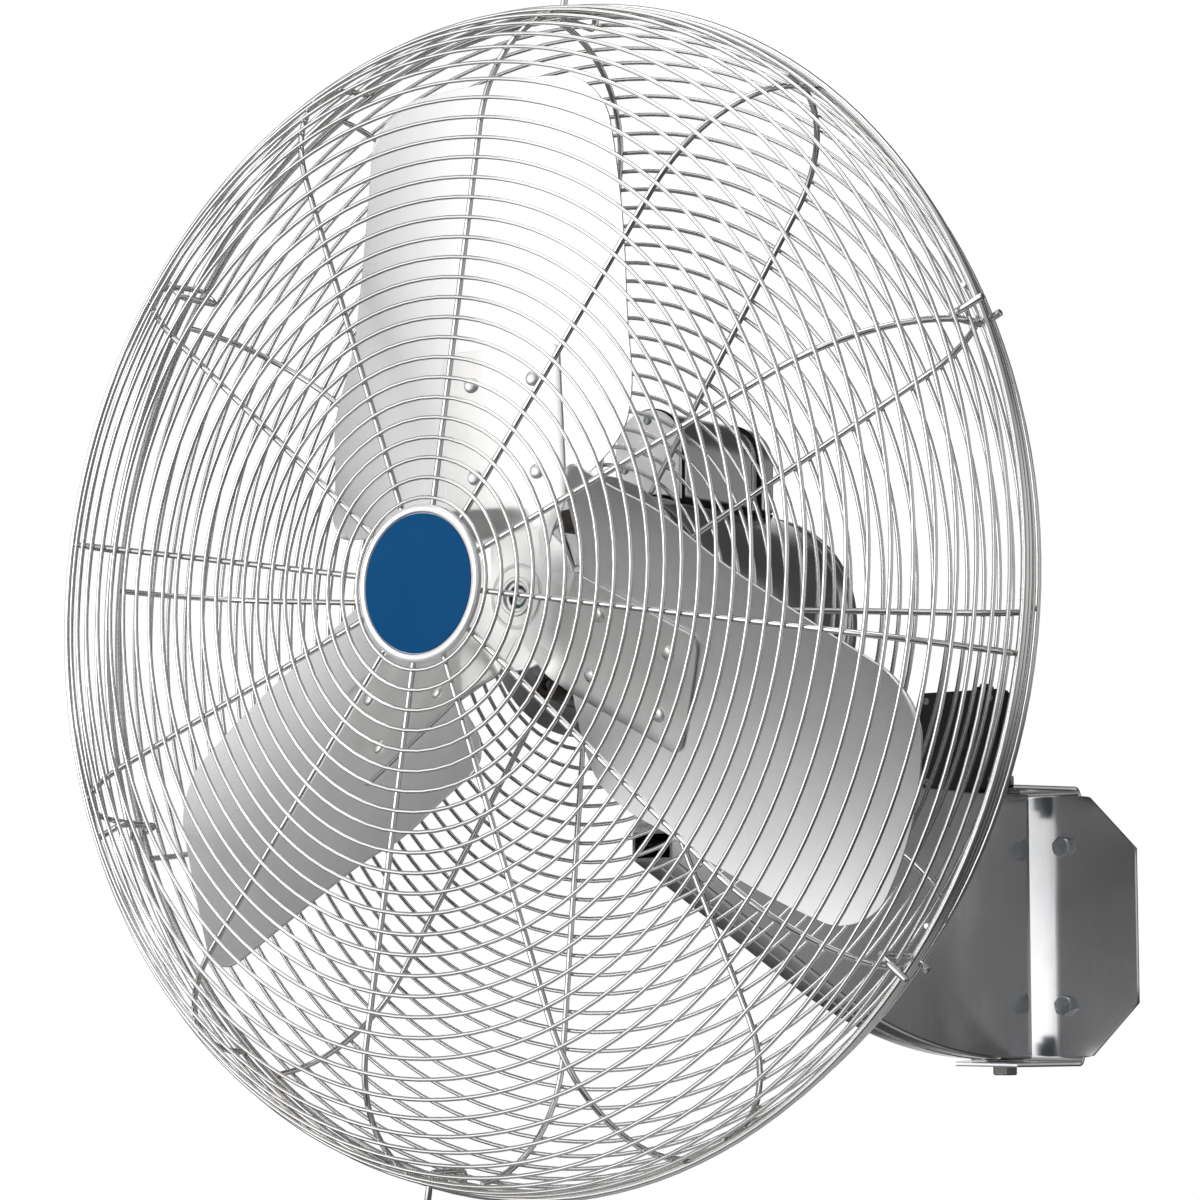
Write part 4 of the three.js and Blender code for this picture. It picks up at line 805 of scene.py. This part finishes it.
motor = {"radius": 88.0, "length": 238.0, "bell": 18.0, "step": 5.0, "stepRadius": 74.0, "bossCircle": 62.0,
         "bossAngle": -110.0, "blockTurn": 24.0, "tieCircle": 81.2, "tieAngle": 57.0, "ribs": 8,
         "ribSpan": (30.0, 67.5)}


# A shallow rib that runs outwards on the front bell and sinks away at both ends.
def ribGrid(rib):
    start, end = motor["ribSpan"]
    angle = 22.5 + 45 * rib
    rows = []
    for reach in np.linspace(start, end, 6):
        rise = 0.2
        if start < reach < end:
            rise = 1.6 * math.sin(math.pi * (reach - start) / (end - start)) ** 0.5
        low, high = 1.4 - rise, 1.0 - rise
        section = ((-2.6, 2.4), (-1.7, low), (-0.9, high), (0.9, high), (1.7, low), (2.6, 2.4))
        at = place["motorFace"] + outwards(angle) * reach
        rows.append([at + alongside(angle) * a + np.array([0.0, b, 0.0]) for a, b in section])
    return rows


def motorPieces():
    centre = place["motorFace"]
    radius, bell, step, stepRadius = [motor[key] for key in ("radius", "bell", "step", "stepRadius")]
    length = motor["length"]
    rearStart = length - bell - 2
    # The can has a shallow bead near either end.
    beads = []
    for bead in (30, rearStart - 18):
        beads += [(radius, bead, 0), (radius - 0.9, bead + 1.5, 1.2), (radius - 0.9, bead + 4.5, 1.2),
                  (radius, bead + 6, 0)]
    can = [(radius - 2.8, bell + 0.3), (radius - 0.4, bell + 0.3, 0.8), (radius, bell + 2, 1.0), *beads,
           (radius, rearStart - 2, 1.0), (radius - 0.4, rearStart - 0.3, 0.8),
           (radius - 2.8, rearStart - 0.3)]
    fit(turnedPiece("motor_can", can, centre, 0.5, 128, sharp=40), "head", "motor", "motor_shell")
    front = [(9.5, 0.6, 0.4), (24, 0.6, 1.0), (25.5, -1.6, 0.6), (30, -1.6, 1.0), (32, 1.2, 1.5),
             (66, 1.6, 2.0), (68, 0, 1.0), (stepRadius, 0, 1.0), (stepRadius, step, 0.4),
             (radius, step, 1.6), (radius, bell, 0.5), (82, bell, 0.3), (82, 24, 0.3), (78, 24, 0.3),
             (78, 10, 1), (24, 10, 1), (24, 17, 0.4), (17.3, 17, 0.4), (17.3, 5, 0.4), (9.5, 5, 0.4)]
    front = turned(Lump(), front, centre, 0.5, 96)
    for rib in range(motor["ribs"]):
        front.grid(ribGrid(rib))
    fit(front.piece("motor_front_cover", sharp=35), "head", "bell", "motor_front_bell")
    rear = [(0, 208), (9.5, 208), (9.5, 206.5, 0.3), (17.3, 206.5, 0.3), (17.3, 212, 0.5), (24, 212, 0.5),
            (24, 226, 1), (74, 224, 2), (78, 212, 0.4), (82, 212, 0.4), (82, rearStart, 0.3),
            (radius, rearStart, 0.4), (radius - 1, rearStart + 9, 6.0), (radius - 11, length - 3.5, 6.0),
            (66, length - 2.2, 3.0), (60, length - 0.6, 2.0), (20, length - 0.2, 2.0),
            (18, length - 1.6, 0.6), (0, length - 1.6)]
    fit(turnedPiece("motor_rear_cover", rear, centre, 0.6, 128, 4, 40), "head", "motor", "motor_rear_bell")
    bush = [(4.2, -17.6, 0.4), (4.6, -20, 0.5), (7.6, -20, 0.6), (8.2, -18.2, 0.3), (9.2, -18.2, 0.3),
            (9.6, -19.6, 0.5), (11, -19.0, 1.0), (11, -6, 0.4), (10.2, -5.2, 0.4), (10.2, -3.4, 0.4),
            (11, -2.6, 0.4), (11, -0.3, 0.3), (4.2, -0.3, 0.3)]
    screw = [(0, -16.4), (1.1, -16.4, 0.2), (1.4, -15.4, 0.2), (3.2, -16.0, 0.5), (3.9, -14.6, 0.3),
             (3.9, -1.0, 0.2), (0, -1.0)]
    block = ((-8, -6), (8.5, -6), (8.5, 6.5), (-8, 6.5))
    for index in range(4):
        angle = motor["bossAngle"] + 90 * index
        at = centre + motor["bossCircle"] * outwards(angle)
        ends = "_%d" % (index + 1)
        fit(turnedPiece("motor_bush" + ends, bush, at, 0.4, 48), "head", "brown", "motor_boss" + ends)
        fit(turnedPiece("motor_bush_screw" + ends, screw, at, 0.3, 32), "head", "zinc")
        # A rubber block stands beside each boss.
        out = outwards(angle + motor["blockTurn"])[[0, 2]]
        along = np.array([-out[1], out[0]])
        boss = motor["bossCircle"] * out
        outline = filleted([boss + out * a + along * b for a, b in block], 1.5, 4, True) + centre[[0, 2]]
        piece = prismPiece("motor_block" + ends, outline, centre[1] - 15.5, centre[1] - 0.3, 0.8)
        fit(piece, "head", "brown")
    # Four long tie screws hold the two covers on the can.
    for index in range(4):
        at = centre + motor["tieCircle"] * outwards(motor["tieAngle"] + 90 * index)
        head = hexagonGrid(at + np.array([0.0, step + 0.2, 0.0]), (0, -1, 0), 7.0, 3.4)
        fit(gridPiece("motor_tie_screw_%d" % (index + 1), head), "head", "zinc")


motorPieces()
ring = {"inner": 75.0, "outer": 97.0, "front": 2.7, "thickness": 2.0, "screwCircle": 81.0,
        "screwAngle": 33.0}


def mountRingPiece():
    inner, outer, front = ring["inner"], ring["outer"], ring["front"]
    back = front + ring["thickness"]
    plate = [(inner, front, 0.4), (outer, front, 0.6), (outer, back, 0.6), (inner, back, 0.4)]
    lump = turned(Lump(), plate, place["motorFace"], 0.4, 128)
    for index in range(4):
        at = place["motorFace"] + ring["screwCircle"] * outwards(ring["screwAngle"] + 90 * index)
        lump.grid(hexagonGrid(at + np.array([0.0, front + 0.1, 0.0]), (0, -1, 0), 8.6, 3.2))
    return lump.piece("guard_ring_plate", sharp=35)


fit(mountRingPiece(), "head", "steel", "guard_mount_ring")
print("motor")

# ---- Conduit box ----

conduit = {"half": 31.0, "top": 156.0, "start": 75.0, "cover": 3.0, "seal": 1.2, "body": 89.0, "neck": 9.0,
           "neckInset": 3.0, "tail": 18.0, "gap": 0.3, "stripRadii": (88.2, 91.3),
           "screws": ((-22, 112), (22, 112), (0, 148))}


# An arch over the motor's curve. The foot follows a circle round the fan's axis.
def archOutline(inset, footRadius):
    half = conduit["half"] - inset
    shoulder = conduit["top"] - conduit["half"]
    reach = math.asin(half / footRadius)
    foot = [(footRadius * math.sin(a), footRadius * math.cos(a)) for a in np.linspace(-reach, reach, 13)]
    crown = [(half * math.cos(a), shoulder + half * math.sin(a)) for a in np.linspace(0, math.pi, 33)]
    return np.array(foot + crown)


def conduitPieces():
    centre = place["motorFace"]
    shift = centre[[0, 2]]

    def arch(name, inset, start, end, foot, bevel, slot, *nodes):
        outline = archOutline(inset, foot) + shift
        piece = prismPiece(name, outline, centre[1] + start, centre[1] + end, bevel, 3)
        return fit(piece, "head", slot, *nodes)

    start = conduit["start"]
    coverEnd = start + conduit["cover"]
    sealEnd = coverEnd + conduit["seal"] + 2 * conduit["gap"]
    bodyEnd = sealEnd + conduit["body"]
    neckEnd = bodyEnd + conduit["neck"]
    tailEnd = neckEnd + conduit["gap"] + conduit["tail"]
    arch("conduit_cover_plate", 0.0, start, coverEnd, 90.6, 1.0, "silver", "conduit_front_cover")
    arch("conduit_gasket", -1.2, coverEnd + 0.05, sealEnd - 0.05, 89.2, 0.3, "black", "conduit_front_seal")
    arch("conduit_housing", 0.0, sealEnd, bodyEnd, 91.0, 3.4, "motor", "conduit_box")
    arch("conduit_neck", conduit["neckInset"], bodyEnd - 4, neckEnd, 91.0, 0.6, "silver")
    arch("conduit_tail_gasket", -0.8, neckEnd - 1.6, neckEnd + 0.1, 90.4, 0.3, "black")
    arch("conduit_tail", 0.0, neckEnd + conduit["gap"], tailEnd, 91.0, 3.4, "motor", "conduit_rear_cover")
    # The dark seal between the box and the motor, a strip that follows the motor's curve.
    low, high = conduit["stripRadii"]
    reach = math.asin((conduit["half"] + 1.0) / low)
    angles = np.linspace(-reach, reach, 17)
    strip = [(low * math.sin(a), low * math.cos(a)) for a in angles]
    strip += [(high * math.sin(a), high * math.cos(a)) for a in angles[::-1]]
    strip = np.array(strip) + shift
    seal = prismPiece("conduit_base_strip", strip, centre[1] + start + 4, centre[1] + tailEnd - 5, 0.5)
    fit(seal, "head", "black", "conduit_base_seal")
    screw = [(0, -1.1), (1.3, -1.15, 0.2), (1.6, -1.9, 0.2), (3.2, -1.4, 0.6), (3.9, 0.1, 0.2), (0, 0.1)]
    for index, (x, z) in enumerate(conduit["screws"]):
        at = centre + np.array([x, start, z])
        fit(turnedPiece("conduit_screw_%d" % (index + 1), screw, at, 0.3, 32), "head", "zinc")
    gland = [(2.5, -5), (5, -5), (5, 0), (7.5, 0, 0.6), (7.5, 2.4, 0.8), (4.8, 5.0, 0.8), (2.5, 5.0, 0.3)]
    at = centre + np.array([0, tailEnd + conduit["gap"], conduit["top"] - conduit["half"]])
    fit(turnedPiece("conduit_bush", gland, at, 0.3, 48), "head", "black", "conduit_gland")


conduitPieces()
print("conduit box")

# ---- Arm ----

arm = {"half": 19.0, "top": 113.5, "rear": 14.0, "front": 490.0, "wall": 2.5, "corner": 3.0, "belly": 685.0,
       "frontHeight": 23.0, "nose": 29.5, "noseY": -430.0, "cutBack": 59.0, "cutCorner": 16.0, "lip": 4.0}


# The arm's top and bottom at a distance in front of the swivel axis (y is negative).
def armLevels():
    bellyCentre = arm["belly"] - arm["top"]
    noseBend = arm["noseY"] - arm["nose"] * math.sin(math.pi / 4)
    noseZ = arm["top"] - arm["nose"] + arm["nose"] * math.cos(math.pi / 4)
    frontTop = noseZ - (noseBend + arm["front"])
    rise = bellyCentre - (frontTop - arm["frontHeight"])
    slope = math.atan2(arm["front"], rise) - math.acos(arm["belly"] / math.hypot(arm["front"], rise))
    tangentY = -arm["belly"] * math.sin(slope)
    tangentZ = bellyCentre - arm["belly"] * math.cos(slope)

    def top(y):
        if y >= arm["noseY"]:
            return arm["top"]
        if y >= noseBend:
            return arm["top"] - arm["nose"] + math.sqrt(max(0, arm["nose"] ** 2 - (y - arm["noseY"]) ** 2))
        return noseZ - (noseBend - y)

    def bottom(y):
        if y >= 0:
            return -arm["top"]
        if y >= tangentY:
            return bellyCentre - math.sqrt(arm["belly"] ** 2 - y ** 2)
        return tangentZ + (tangentY - y) * math.tan(slope)

    return top, bottom, noseBend, tangentY


def armPiece():
    top, bottom, noseBend, tangentY = armLevels()
    rear = arm["rear"]
    stations = np.concatenate([
        [rear, rear - 0.8], np.linspace(rear - 8, 0, 3), np.linspace(0, tangentY, 30)[1:],
        np.linspace(tangentY, arm["noseY"], 10)[1:], np.linspace(arm["noseY"], noseBend, 9)[1:],
        np.linspace(noseBend, -arm["front"], 5)[1:]])

    def section(y, inset):
        half, low, high = arm["half"] - inset, bottom(y) + inset, top(y) - inset
        outline = [(half, low), (half, high), (-half, high), (-half, low)]
        flat = filleted(outline, max(0.4, arm["corner"] - inset), 6, True)
        return np.column_stack([flat[:, 0], np.full(len(flat), y), flat[:, 1]]) + place["swivel"]

    outer = np.array([section(y, 0.0) for y in stations])
    inner = np.array([section(y, arm["wall"]) for y in stations[::-1]])
    outer[0] = section(stations[0], 0.35)
    piece = gridPiece("arm_channel", np.concatenate([outer, inner]), 50, closeRows=True)
    # The left wall is cut back at the rear, which leaves room for a spanner at the swivel.
    back, high, ahead = rear + 2, arm["top"] - arm["lip"], rear - arm["cutBack"]
    outline = [(back, -high), (back, high), (ahead, high, arm["cutCorner"]),
               (ahead, -high, arm["cutCorner"])]
    flat = filleted([(y + place["swivel"][1], z, *rest) for y, z, *rest in outline], 0.0, 6, True)
    rows = [[(x, y, z) for y, z in flat] for x in (-arm["half"] - 2, -arm["half"] + arm["wall"] + 4)]
    cutAway(piece, gridPiece("arm_cutter", rows))
    return piece


fit(armPiece(), "arm", "steel", "arm")


# A welded seam runs under the arm where the folded halves meet.
def seamPiece():
    bottom = armLevels()[1]
    turn = roundTurn(8)
    rows = []
    for y in np.linspace(6, -480, 120):
        rough = 1.2 + 0.12 * math.sin(y * 1.9)
        across, up = rough * 1.6 * np.cos(turn), bottom(y) + 0.55 * rough * np.sin(turn)
        rows.append(np.column_stack([across, np.full(8, y), up]) + place["swivel"])
    return gridPiece("arm_seam", rows, 60)


fit(seamPiece(), "arm", "steel")
box = {"half": 40.0, "height": 85.0, "depth": 15.0, "lid": 4.0, "back": -48.0, "corner": 5.0,
       "lidInset": 0.4, "screws": ((-32.0, 8), (32.0, 8), (-32.0, 77), (32.0, 77)),
       "frame": (15.0, 30.0, 56.0, 0.9, 2.5), "rocker": (11.0, 33.5, 52.5, 1.9, 1.5)}


def boxPieces():
    base, back = place["swivel"][2] + arm["top"] + 0.3, place["swivel"][1] + box["back"]
    half, top, inset = box["half"], base + box["height"], box["lidInset"]
    front = back - box["depth"]
    housing = plateOutline(half, base, top, box["corner"])
    fit(prismPiece("switch_housing", housing, front, back, 0.9, 3), "arm", "black", "switch_box")
    lidBack = front - 0.3
    lidFront = lidBack - box["lid"]
    lid = plateOutline(half - inset, base + inset, top - inset, box["corner"])
    fit(prismPiece("switch_lid", lid, lidFront, lidBack, 1.4, 4), "arm", "black", "switch_box_lid")
    screw = [(0, 0.2), (1.2, 0.2, 0.2), (1.5, -0.5, 0.2), (3.0, -0.1, 0.5), (3.4, 0.9, 0.2), (0, 0.9)]
    for index, (x, z) in enumerate(box["screws"]):
        at = np.array([x, lidFront - 0.3, base + z])
        fit(turnedPiece("switch_screw_%d" % (index + 1), screw, at, 0.2, 28), "arm", "core")
    # A raised frame with a rocker switch on the lid's front.
    for name in ("frame", "rocker"):
        halfX, low, high, depth, corner = box[name]
        outline = plateOutline(halfX, base + low, base + high, corner, 4)
        fit(prismPiece("switch_" + name, outline, lidFront - depth, lidFront + 0.4, 0.5, 3), "arm", "black")
    gland = Lump()
    at = np.array([half / 2, back - box["depth"] / 2, top + 0.3])
    for rise, radius, height, edge in ((-5.0, 5.0, 5.2, 0.3), (0, 7.4, 2.5, 0.7), (2.3, 4.6, 2.6, 0.9)):
        gland.grid(discGrid(at + np.array([0, 0, rise]), (0, 0, 1), radius, height, edge))
    fit(gland.piece("switch_bush"), "arm", "black", "switch_box_gland")


boxPieces()
print("arm and switch box")

# ---- Wall bracket ----

bracket = {"half": 110.0, "sheet": 4.0, "bend": 5.0, "chamfer": 54.0, "reach": 66.0, "frontHalf": 31.0,
           "inner": 115.3}


def bracketPiece():
    sheet, middle = bracket["sheet"], bracket["bend"] + bracket["sheet"] / 2
    level = bracket["inner"] + sheet / 2
    foldHalf = bracket["half"] - bracket["chamfer"]
    flangeFront = -(sheet + bracket["reach"])
    bendStart = -sheet / 2 - middle
    # The sheet's middle line from the front of the top flange, down the plate, to the front of the bottom
    # one: y, height, half the width and the way that the sheet faces.
    side = []
    for y in np.linspace(flangeFront, bendStart, 12):
        share = (y - flangeFront) / (bendStart - flangeFront)
        half = bracket["frontHalf"] + (foldHalf - bracket["frontHalf"]) * share
        side.append((y, level, half, (0.0, 1.0)))
    for step in range(1, 8):
        angle = math.pi / 2 * step / 8
        sin, cos = math.sin(angle), math.cos(angle)
        side.append((bendStart + middle * sin, level - middle + middle * cos, foldHalf, (sin, cos)))
    straight = level - middle
    chamferEnd = bracket["inner"] + sheet - bracket["chamfer"]
    for z in np.concatenate([np.linspace(straight, chamferEnd, 6), np.linspace(chamferEnd, 0, 5)[1:]]):
        share = min(1.0, (bracket["inner"] + sheet - z) / bracket["chamfer"])
        side.append((-sheet / 2, z, foldHalf + bracket["chamfer"] * share, (1.0, 0.0)))
    lower = [(y, -z, half, (ny, -nz)) for y, z, half, (ny, nz) in side[-2::-1]]
    strip = side + lower
    columns = np.linspace(-1, 1, 9)

    def layer(lift, inset):
        rows = []
        for i, (y, z, half, (ny, nz)) in enumerate(strip):
            pull = inset if i in (0, len(strip) - 1) else 0.0
            rows.append([[c * (half - inset), y + ny * lift + pull, z + nz * lift] for c in columns])
        return np.array(rows)

    lump = Lump()
    sheetGrid(lump, lambda us, vs, lift, inset: layer(lift, inset), None, None, sheet)
    return lump.piece("bracket_sheet", sharp=40)


fit(bracketPiece(), "wall", "steel", "wall_bracket")

bolts = {"x": 40.0, "z": 68.0, "flats": 16.0, "head": 6.4, "seat": 0.1, "washerHeight": 1.2}
pivot = {"flats": 19.0, "head": 7.6, "nut": 10.2, "washer": 13.5, "rod": 6.0, "innerNut": 10.0,
         "stud": 16.0}
# Bolts of the tilt joint: height, flats, head and rod.
tiltBolts = {"tilt": (place["tilt"][2], 17.0, 6.4, 5.0), "lock": (58.0, 13.0, 5.3, 4.0)}


# A bolt's head or a nut, with a washer below it or the end of its rod above it.
def fastener(name, body, slot, base, axis, flats, height, nodes, washer=0.0, twist=0.0, rod=0.0,
             rodLength=0.0, pitch=1.5):
    lump = Lump()
    base, axis = np.asarray(base, float), np.asarray(axis, float)
    rise = bolts["washerHeight"] if washer else 0.0
    if washer:
        lump.grid(discGrid(base, axis, washer, rise, 0.35))
    lump.grid(hexagonGrid(base + axis * rise, axis, flats, height - rise, bothEnds=rod > 0, twist=twist))
    if rod:
        lump.grid(threadGrid(base + axis * (height - 0.5), axis, rod, rodLength, pitch))
    return fit(lump.piece(name, sharp=28), body, slot, *nodes)


for index, (x, z) in enumerate(((-1, 1), (1, 1), (-1, -1), (1, -1))):
    at = (x * bolts["x"], -bracket["sheet"] - bolts["seat"], z * bolts["z"])
    fastener("wall_bolt_head_%d" % (index + 1), "wall", "zinc", at, (0, -1, 0), bolts["flats"],
             bolts["head"] + 0.2, ["wall_bolt_%d" % (index + 1)], twist=0.35 + 0.5 * index)

swivelX, swivelY = place["swivel"][:2]
level = bracket["inner"] + bracket["sheet"]
fastener("pivot_bolt_head", "wall", "core", (swivelX, swivelY, -level - bolts["seat"]), (0, 0, -1),
         pivot["flats"], pivot["head"], ["pivot_bolt"], twist=0.2)
fastener("pivot_nut_top", "wall", "zinc", (swivelX, swivelY, level + bolts["seat"]), (0, 0, 1),
         pivot["flats"], pivot["nut"], ["pivot_nut"], washer=pivot["washer"], twist=0.5, rod=pivot["rod"],
         rodLength=3.2, pitch=1.4)
# The swivel has a short stud at either end, with a nut inside the arm.
studs, innerNuts = Lump(), Lump()
within = arm["top"] - arm["wall"] - 0.4
for way in (-1, 1):
    inwards = (0, 0, -way)
    studs.grid(threadGrid((swivelX, swivelY, way * level), inwards, pivot["rod"],
                          level - within + pivot["stud"], 1.75))
    innerNuts.grid(hexagonGrid((swivelX, swivelY, way * within), inwards, pivot["flats"], pivot["innerNut"],
                               twist=0.3 + way))
fit(studs.piece("pivot_studs", sharp=28), "wall", "zinc")
fit(innerNuts.piece("pivot_inner_nuts", sharp=28), "arm", "zinc", "pivot_sleeve")
earFace = arm["half"] + 0.4 + 4.0
for name, (z, flats, head, rod) in tiltBolts.items():
    y = place["tilt"][1]
    fastener(name + "_bolt_head", "arm", "zinc", (earFace + bolts["seat"], y, z), (1, 0, 0), flats,
             head + 0.2, [name + "_bolt"], washer=flats * 0.62)
    fastener(name + "_nut_end", "arm", "zinc", (-earFace - bolts["seat"], y, z), (-1, 0, 0), flats,
             head + 0.2, [name + "_nut"], washer=flats * 0.62, rod=rod, rodLength=2.2, pitch=1.2)
    shank = discGrid((-earFace - 2, y, z), (1, 0, 0), rod, 2 * earFace + 4, 0.2)
    fit(gridPiece(name + "_shank", shank), "arm", "zinc")
print("bracket and bolts")

# ---- Solids that stay, with their finish and softened edges ----

slotOf = {row["node"]: row["material_slot"] for row in frame["record"]["subparts"]}
softened = {"tilt_yoke": 0.9, "motor_saddle": 1.2, "badge_clamp": 0.4, "thrust_washer_upper": 0.25,
            "thrust_washer_lower": 0.25, "saddle_bolt_left": 0.4, "saddle_bolt_right": 0.4}
for node, piece in frame["nodes"].items():
    piece.data.materials.clear()
    piece.data.materials.append(finishes[slotOf[node]])
    if node in softened:
        weld = piece.modifiers.new("weld", "WELD")
        weld.merge_threshold = 0.00001
        bevelled(piece, softened[node], 3, 28.0)
print("solids kept:", len(softened))

# ---- Floor, light and camera ----

studio = {
    "floorLevel": -1.6,
    "floorSize": 4.4,
    "floorFade": (1.1, 2.0),  # the floor thins out to nothing between these radii
    "floorColour": (0.8, 0.8, 0.8),
    "room": 0.29,
    "behind": 0.08,
    "leftWall": 0.42,
    "overhead": 0.52,
    "below": 0.06,
    "backdrop": ((-0.62, 0.77, 0.11), (0.88, 0.97)),  # the way it lies, and the cosines over which it grows
    "panels": (  # soft panels: which way each lies, its strength, and its cosines
        ((0.98, -0.10, 0.12), 0.75, (0.80, 0.97)),
        ((0.85, 0.52, 0.10), 0.76, (0.87, 0.965)),
        ((-0.30, -0.95, 0.08), 2.0, (0.56, 0.95)),
    ),
    "lamps": (
        ("topLamp", (0.0, -1.3, 3.3), (0.0, -0.6, 0.2), (3.0, 2.2), 36.0),
        ("frontLamp", (-0.96, -3.64, 0.46), (0.0, -0.6, 0.2), (1.6, 1.6), 13.0),
    ),
}
floorMesh = bpy.data.meshes.new("floor")
reach = studio["floorSize"] / 2
corners = [(-reach, -reach, 0), (reach, -reach, 0), (reach, reach, 0), (-reach, reach, 0)]
floorMesh.from_pydata(corners, [], [(0, 1, 2, 3)])
floor = bpy.data.objects.new("floor", floorMesh)
floor.location.z = studio["floorLevel"]
bpy.context.scene.collection.objects.link(floor)
floorTree = Tree(bpy.data.materials.new("floorFinish"))
floorColour = (*studio["floorColour"], 1.0)
matt = floorTree.node("BsdfPrincipled", {}, {"Base Color": floorColour, "Roughness": 0.9})
where = floorTree.node("TexCoord", out=3)
away = floorTree.node("VectorMath", {"operation": "LENGTH"}, {0: where}, out=1)
fade = floorTree.between(away, *studio["floorFade"])
surface = floorTree.node("MixShader", {}, {0: fade, 1: matt, 2: floorTree.node("BsdfTransparent")})
floorTree.node("OutputMaterial", {}, {"Surface": surface})
floorMesh.materials.append(floorTree.owner)


def lightStudio():
    world = bpy.data.worlds.new("studio")
    bpy.context.scene.world = world
    tree = Tree(world)
    way = tree.node("TexCoord", out=0)
    x, y, z = [tree.node("SeparateXYZ", {}, {0: way}, out=i) for i in range(3)]

    def towards(direction, cosines):
        ax, ay, az = direction
        return tree.between(x * ax + y * ay + z * az, *cosines)

    # A dim room, lighter to the left and overhead, darker behind and below, with soft panels to the right and
    # in front. Each is laid over those before it.
    glow = studio["room"] + tree.between(x * -1, 0.15, 0.8) * (studio["leftWall"] - studio["room"])
    glow = glow + tree.between(z, 0.25, 0.8) * (studio["overhead"] - glow)
    glow = glow + tree.between(y, -0.1, 0.5) * (studio["behind"] - glow)
    glow = glow + tree.between(z * -1, 0.15, 0.6) * (studio["below"] - glow)
    for direction, strength, cosines in studio["panels"]:
        panel = towards(direction, cosines)
        glow = glow + panel * panel * (strength - glow)
    # The camera sees a white backdrop all round, and metal or glass sees it behind the fan.
    seen = tree.node("LightPath", out=0)
    mirrored = tree.node("LightPath", out=3) + tree.node("LightPath", out=6)
    white = seen + mirrored * towards(*studio["backdrop"])
    strength = glow + white * (1.0 - glow)
    background = tree.node("Background", {}, {"Color": (1.0, 1.0, 1.0, 1.0), "Strength": strength})
    tree.node("OutputWorld", {}, {"Surface": background})
    for name, at, aim, (width, height), power in studio["lamps"]:
        lamp = bpy.data.lights.new(name, "AREA")
        lamp.shape = "RECTANGLE"
        lamp.size, lamp.size_y, lamp.energy = width, height, power
        holder = bpy.data.objects.new(name, lamp)
        holder.location = at
        holder.rotation_euler = (Vector(aim) - Vector(at)).to_track_quat("-Z", "Y").to_euler()
        bpy.context.scene.collection.objects.link(holder)


lightStudio()
lens = {"at": (1.5396, -2.5026, -0.0417), "way": (-0.6236, 0.7737, 0.1116), "focal": 100.125,
        "sensor": 36.0}
eye = bpy.data.cameras.new("eye")
eye.lens = lens["focal"]
eye.sensor_width = lens["sensor"]
eye.clip_end = 50.0
camera = bpy.data.objects.new("eye", eye)
camera.location = lens["at"]
camera.rotation_euler = Vector(lens["way"]).to_track_quat("-Z", "Y").to_euler()
bpy.context.scene.collection.objects.link(camera)
bpy.context.scene.camera = camera
bpy.context.scene.view_settings.view_transform = "Standard"
print("studio")
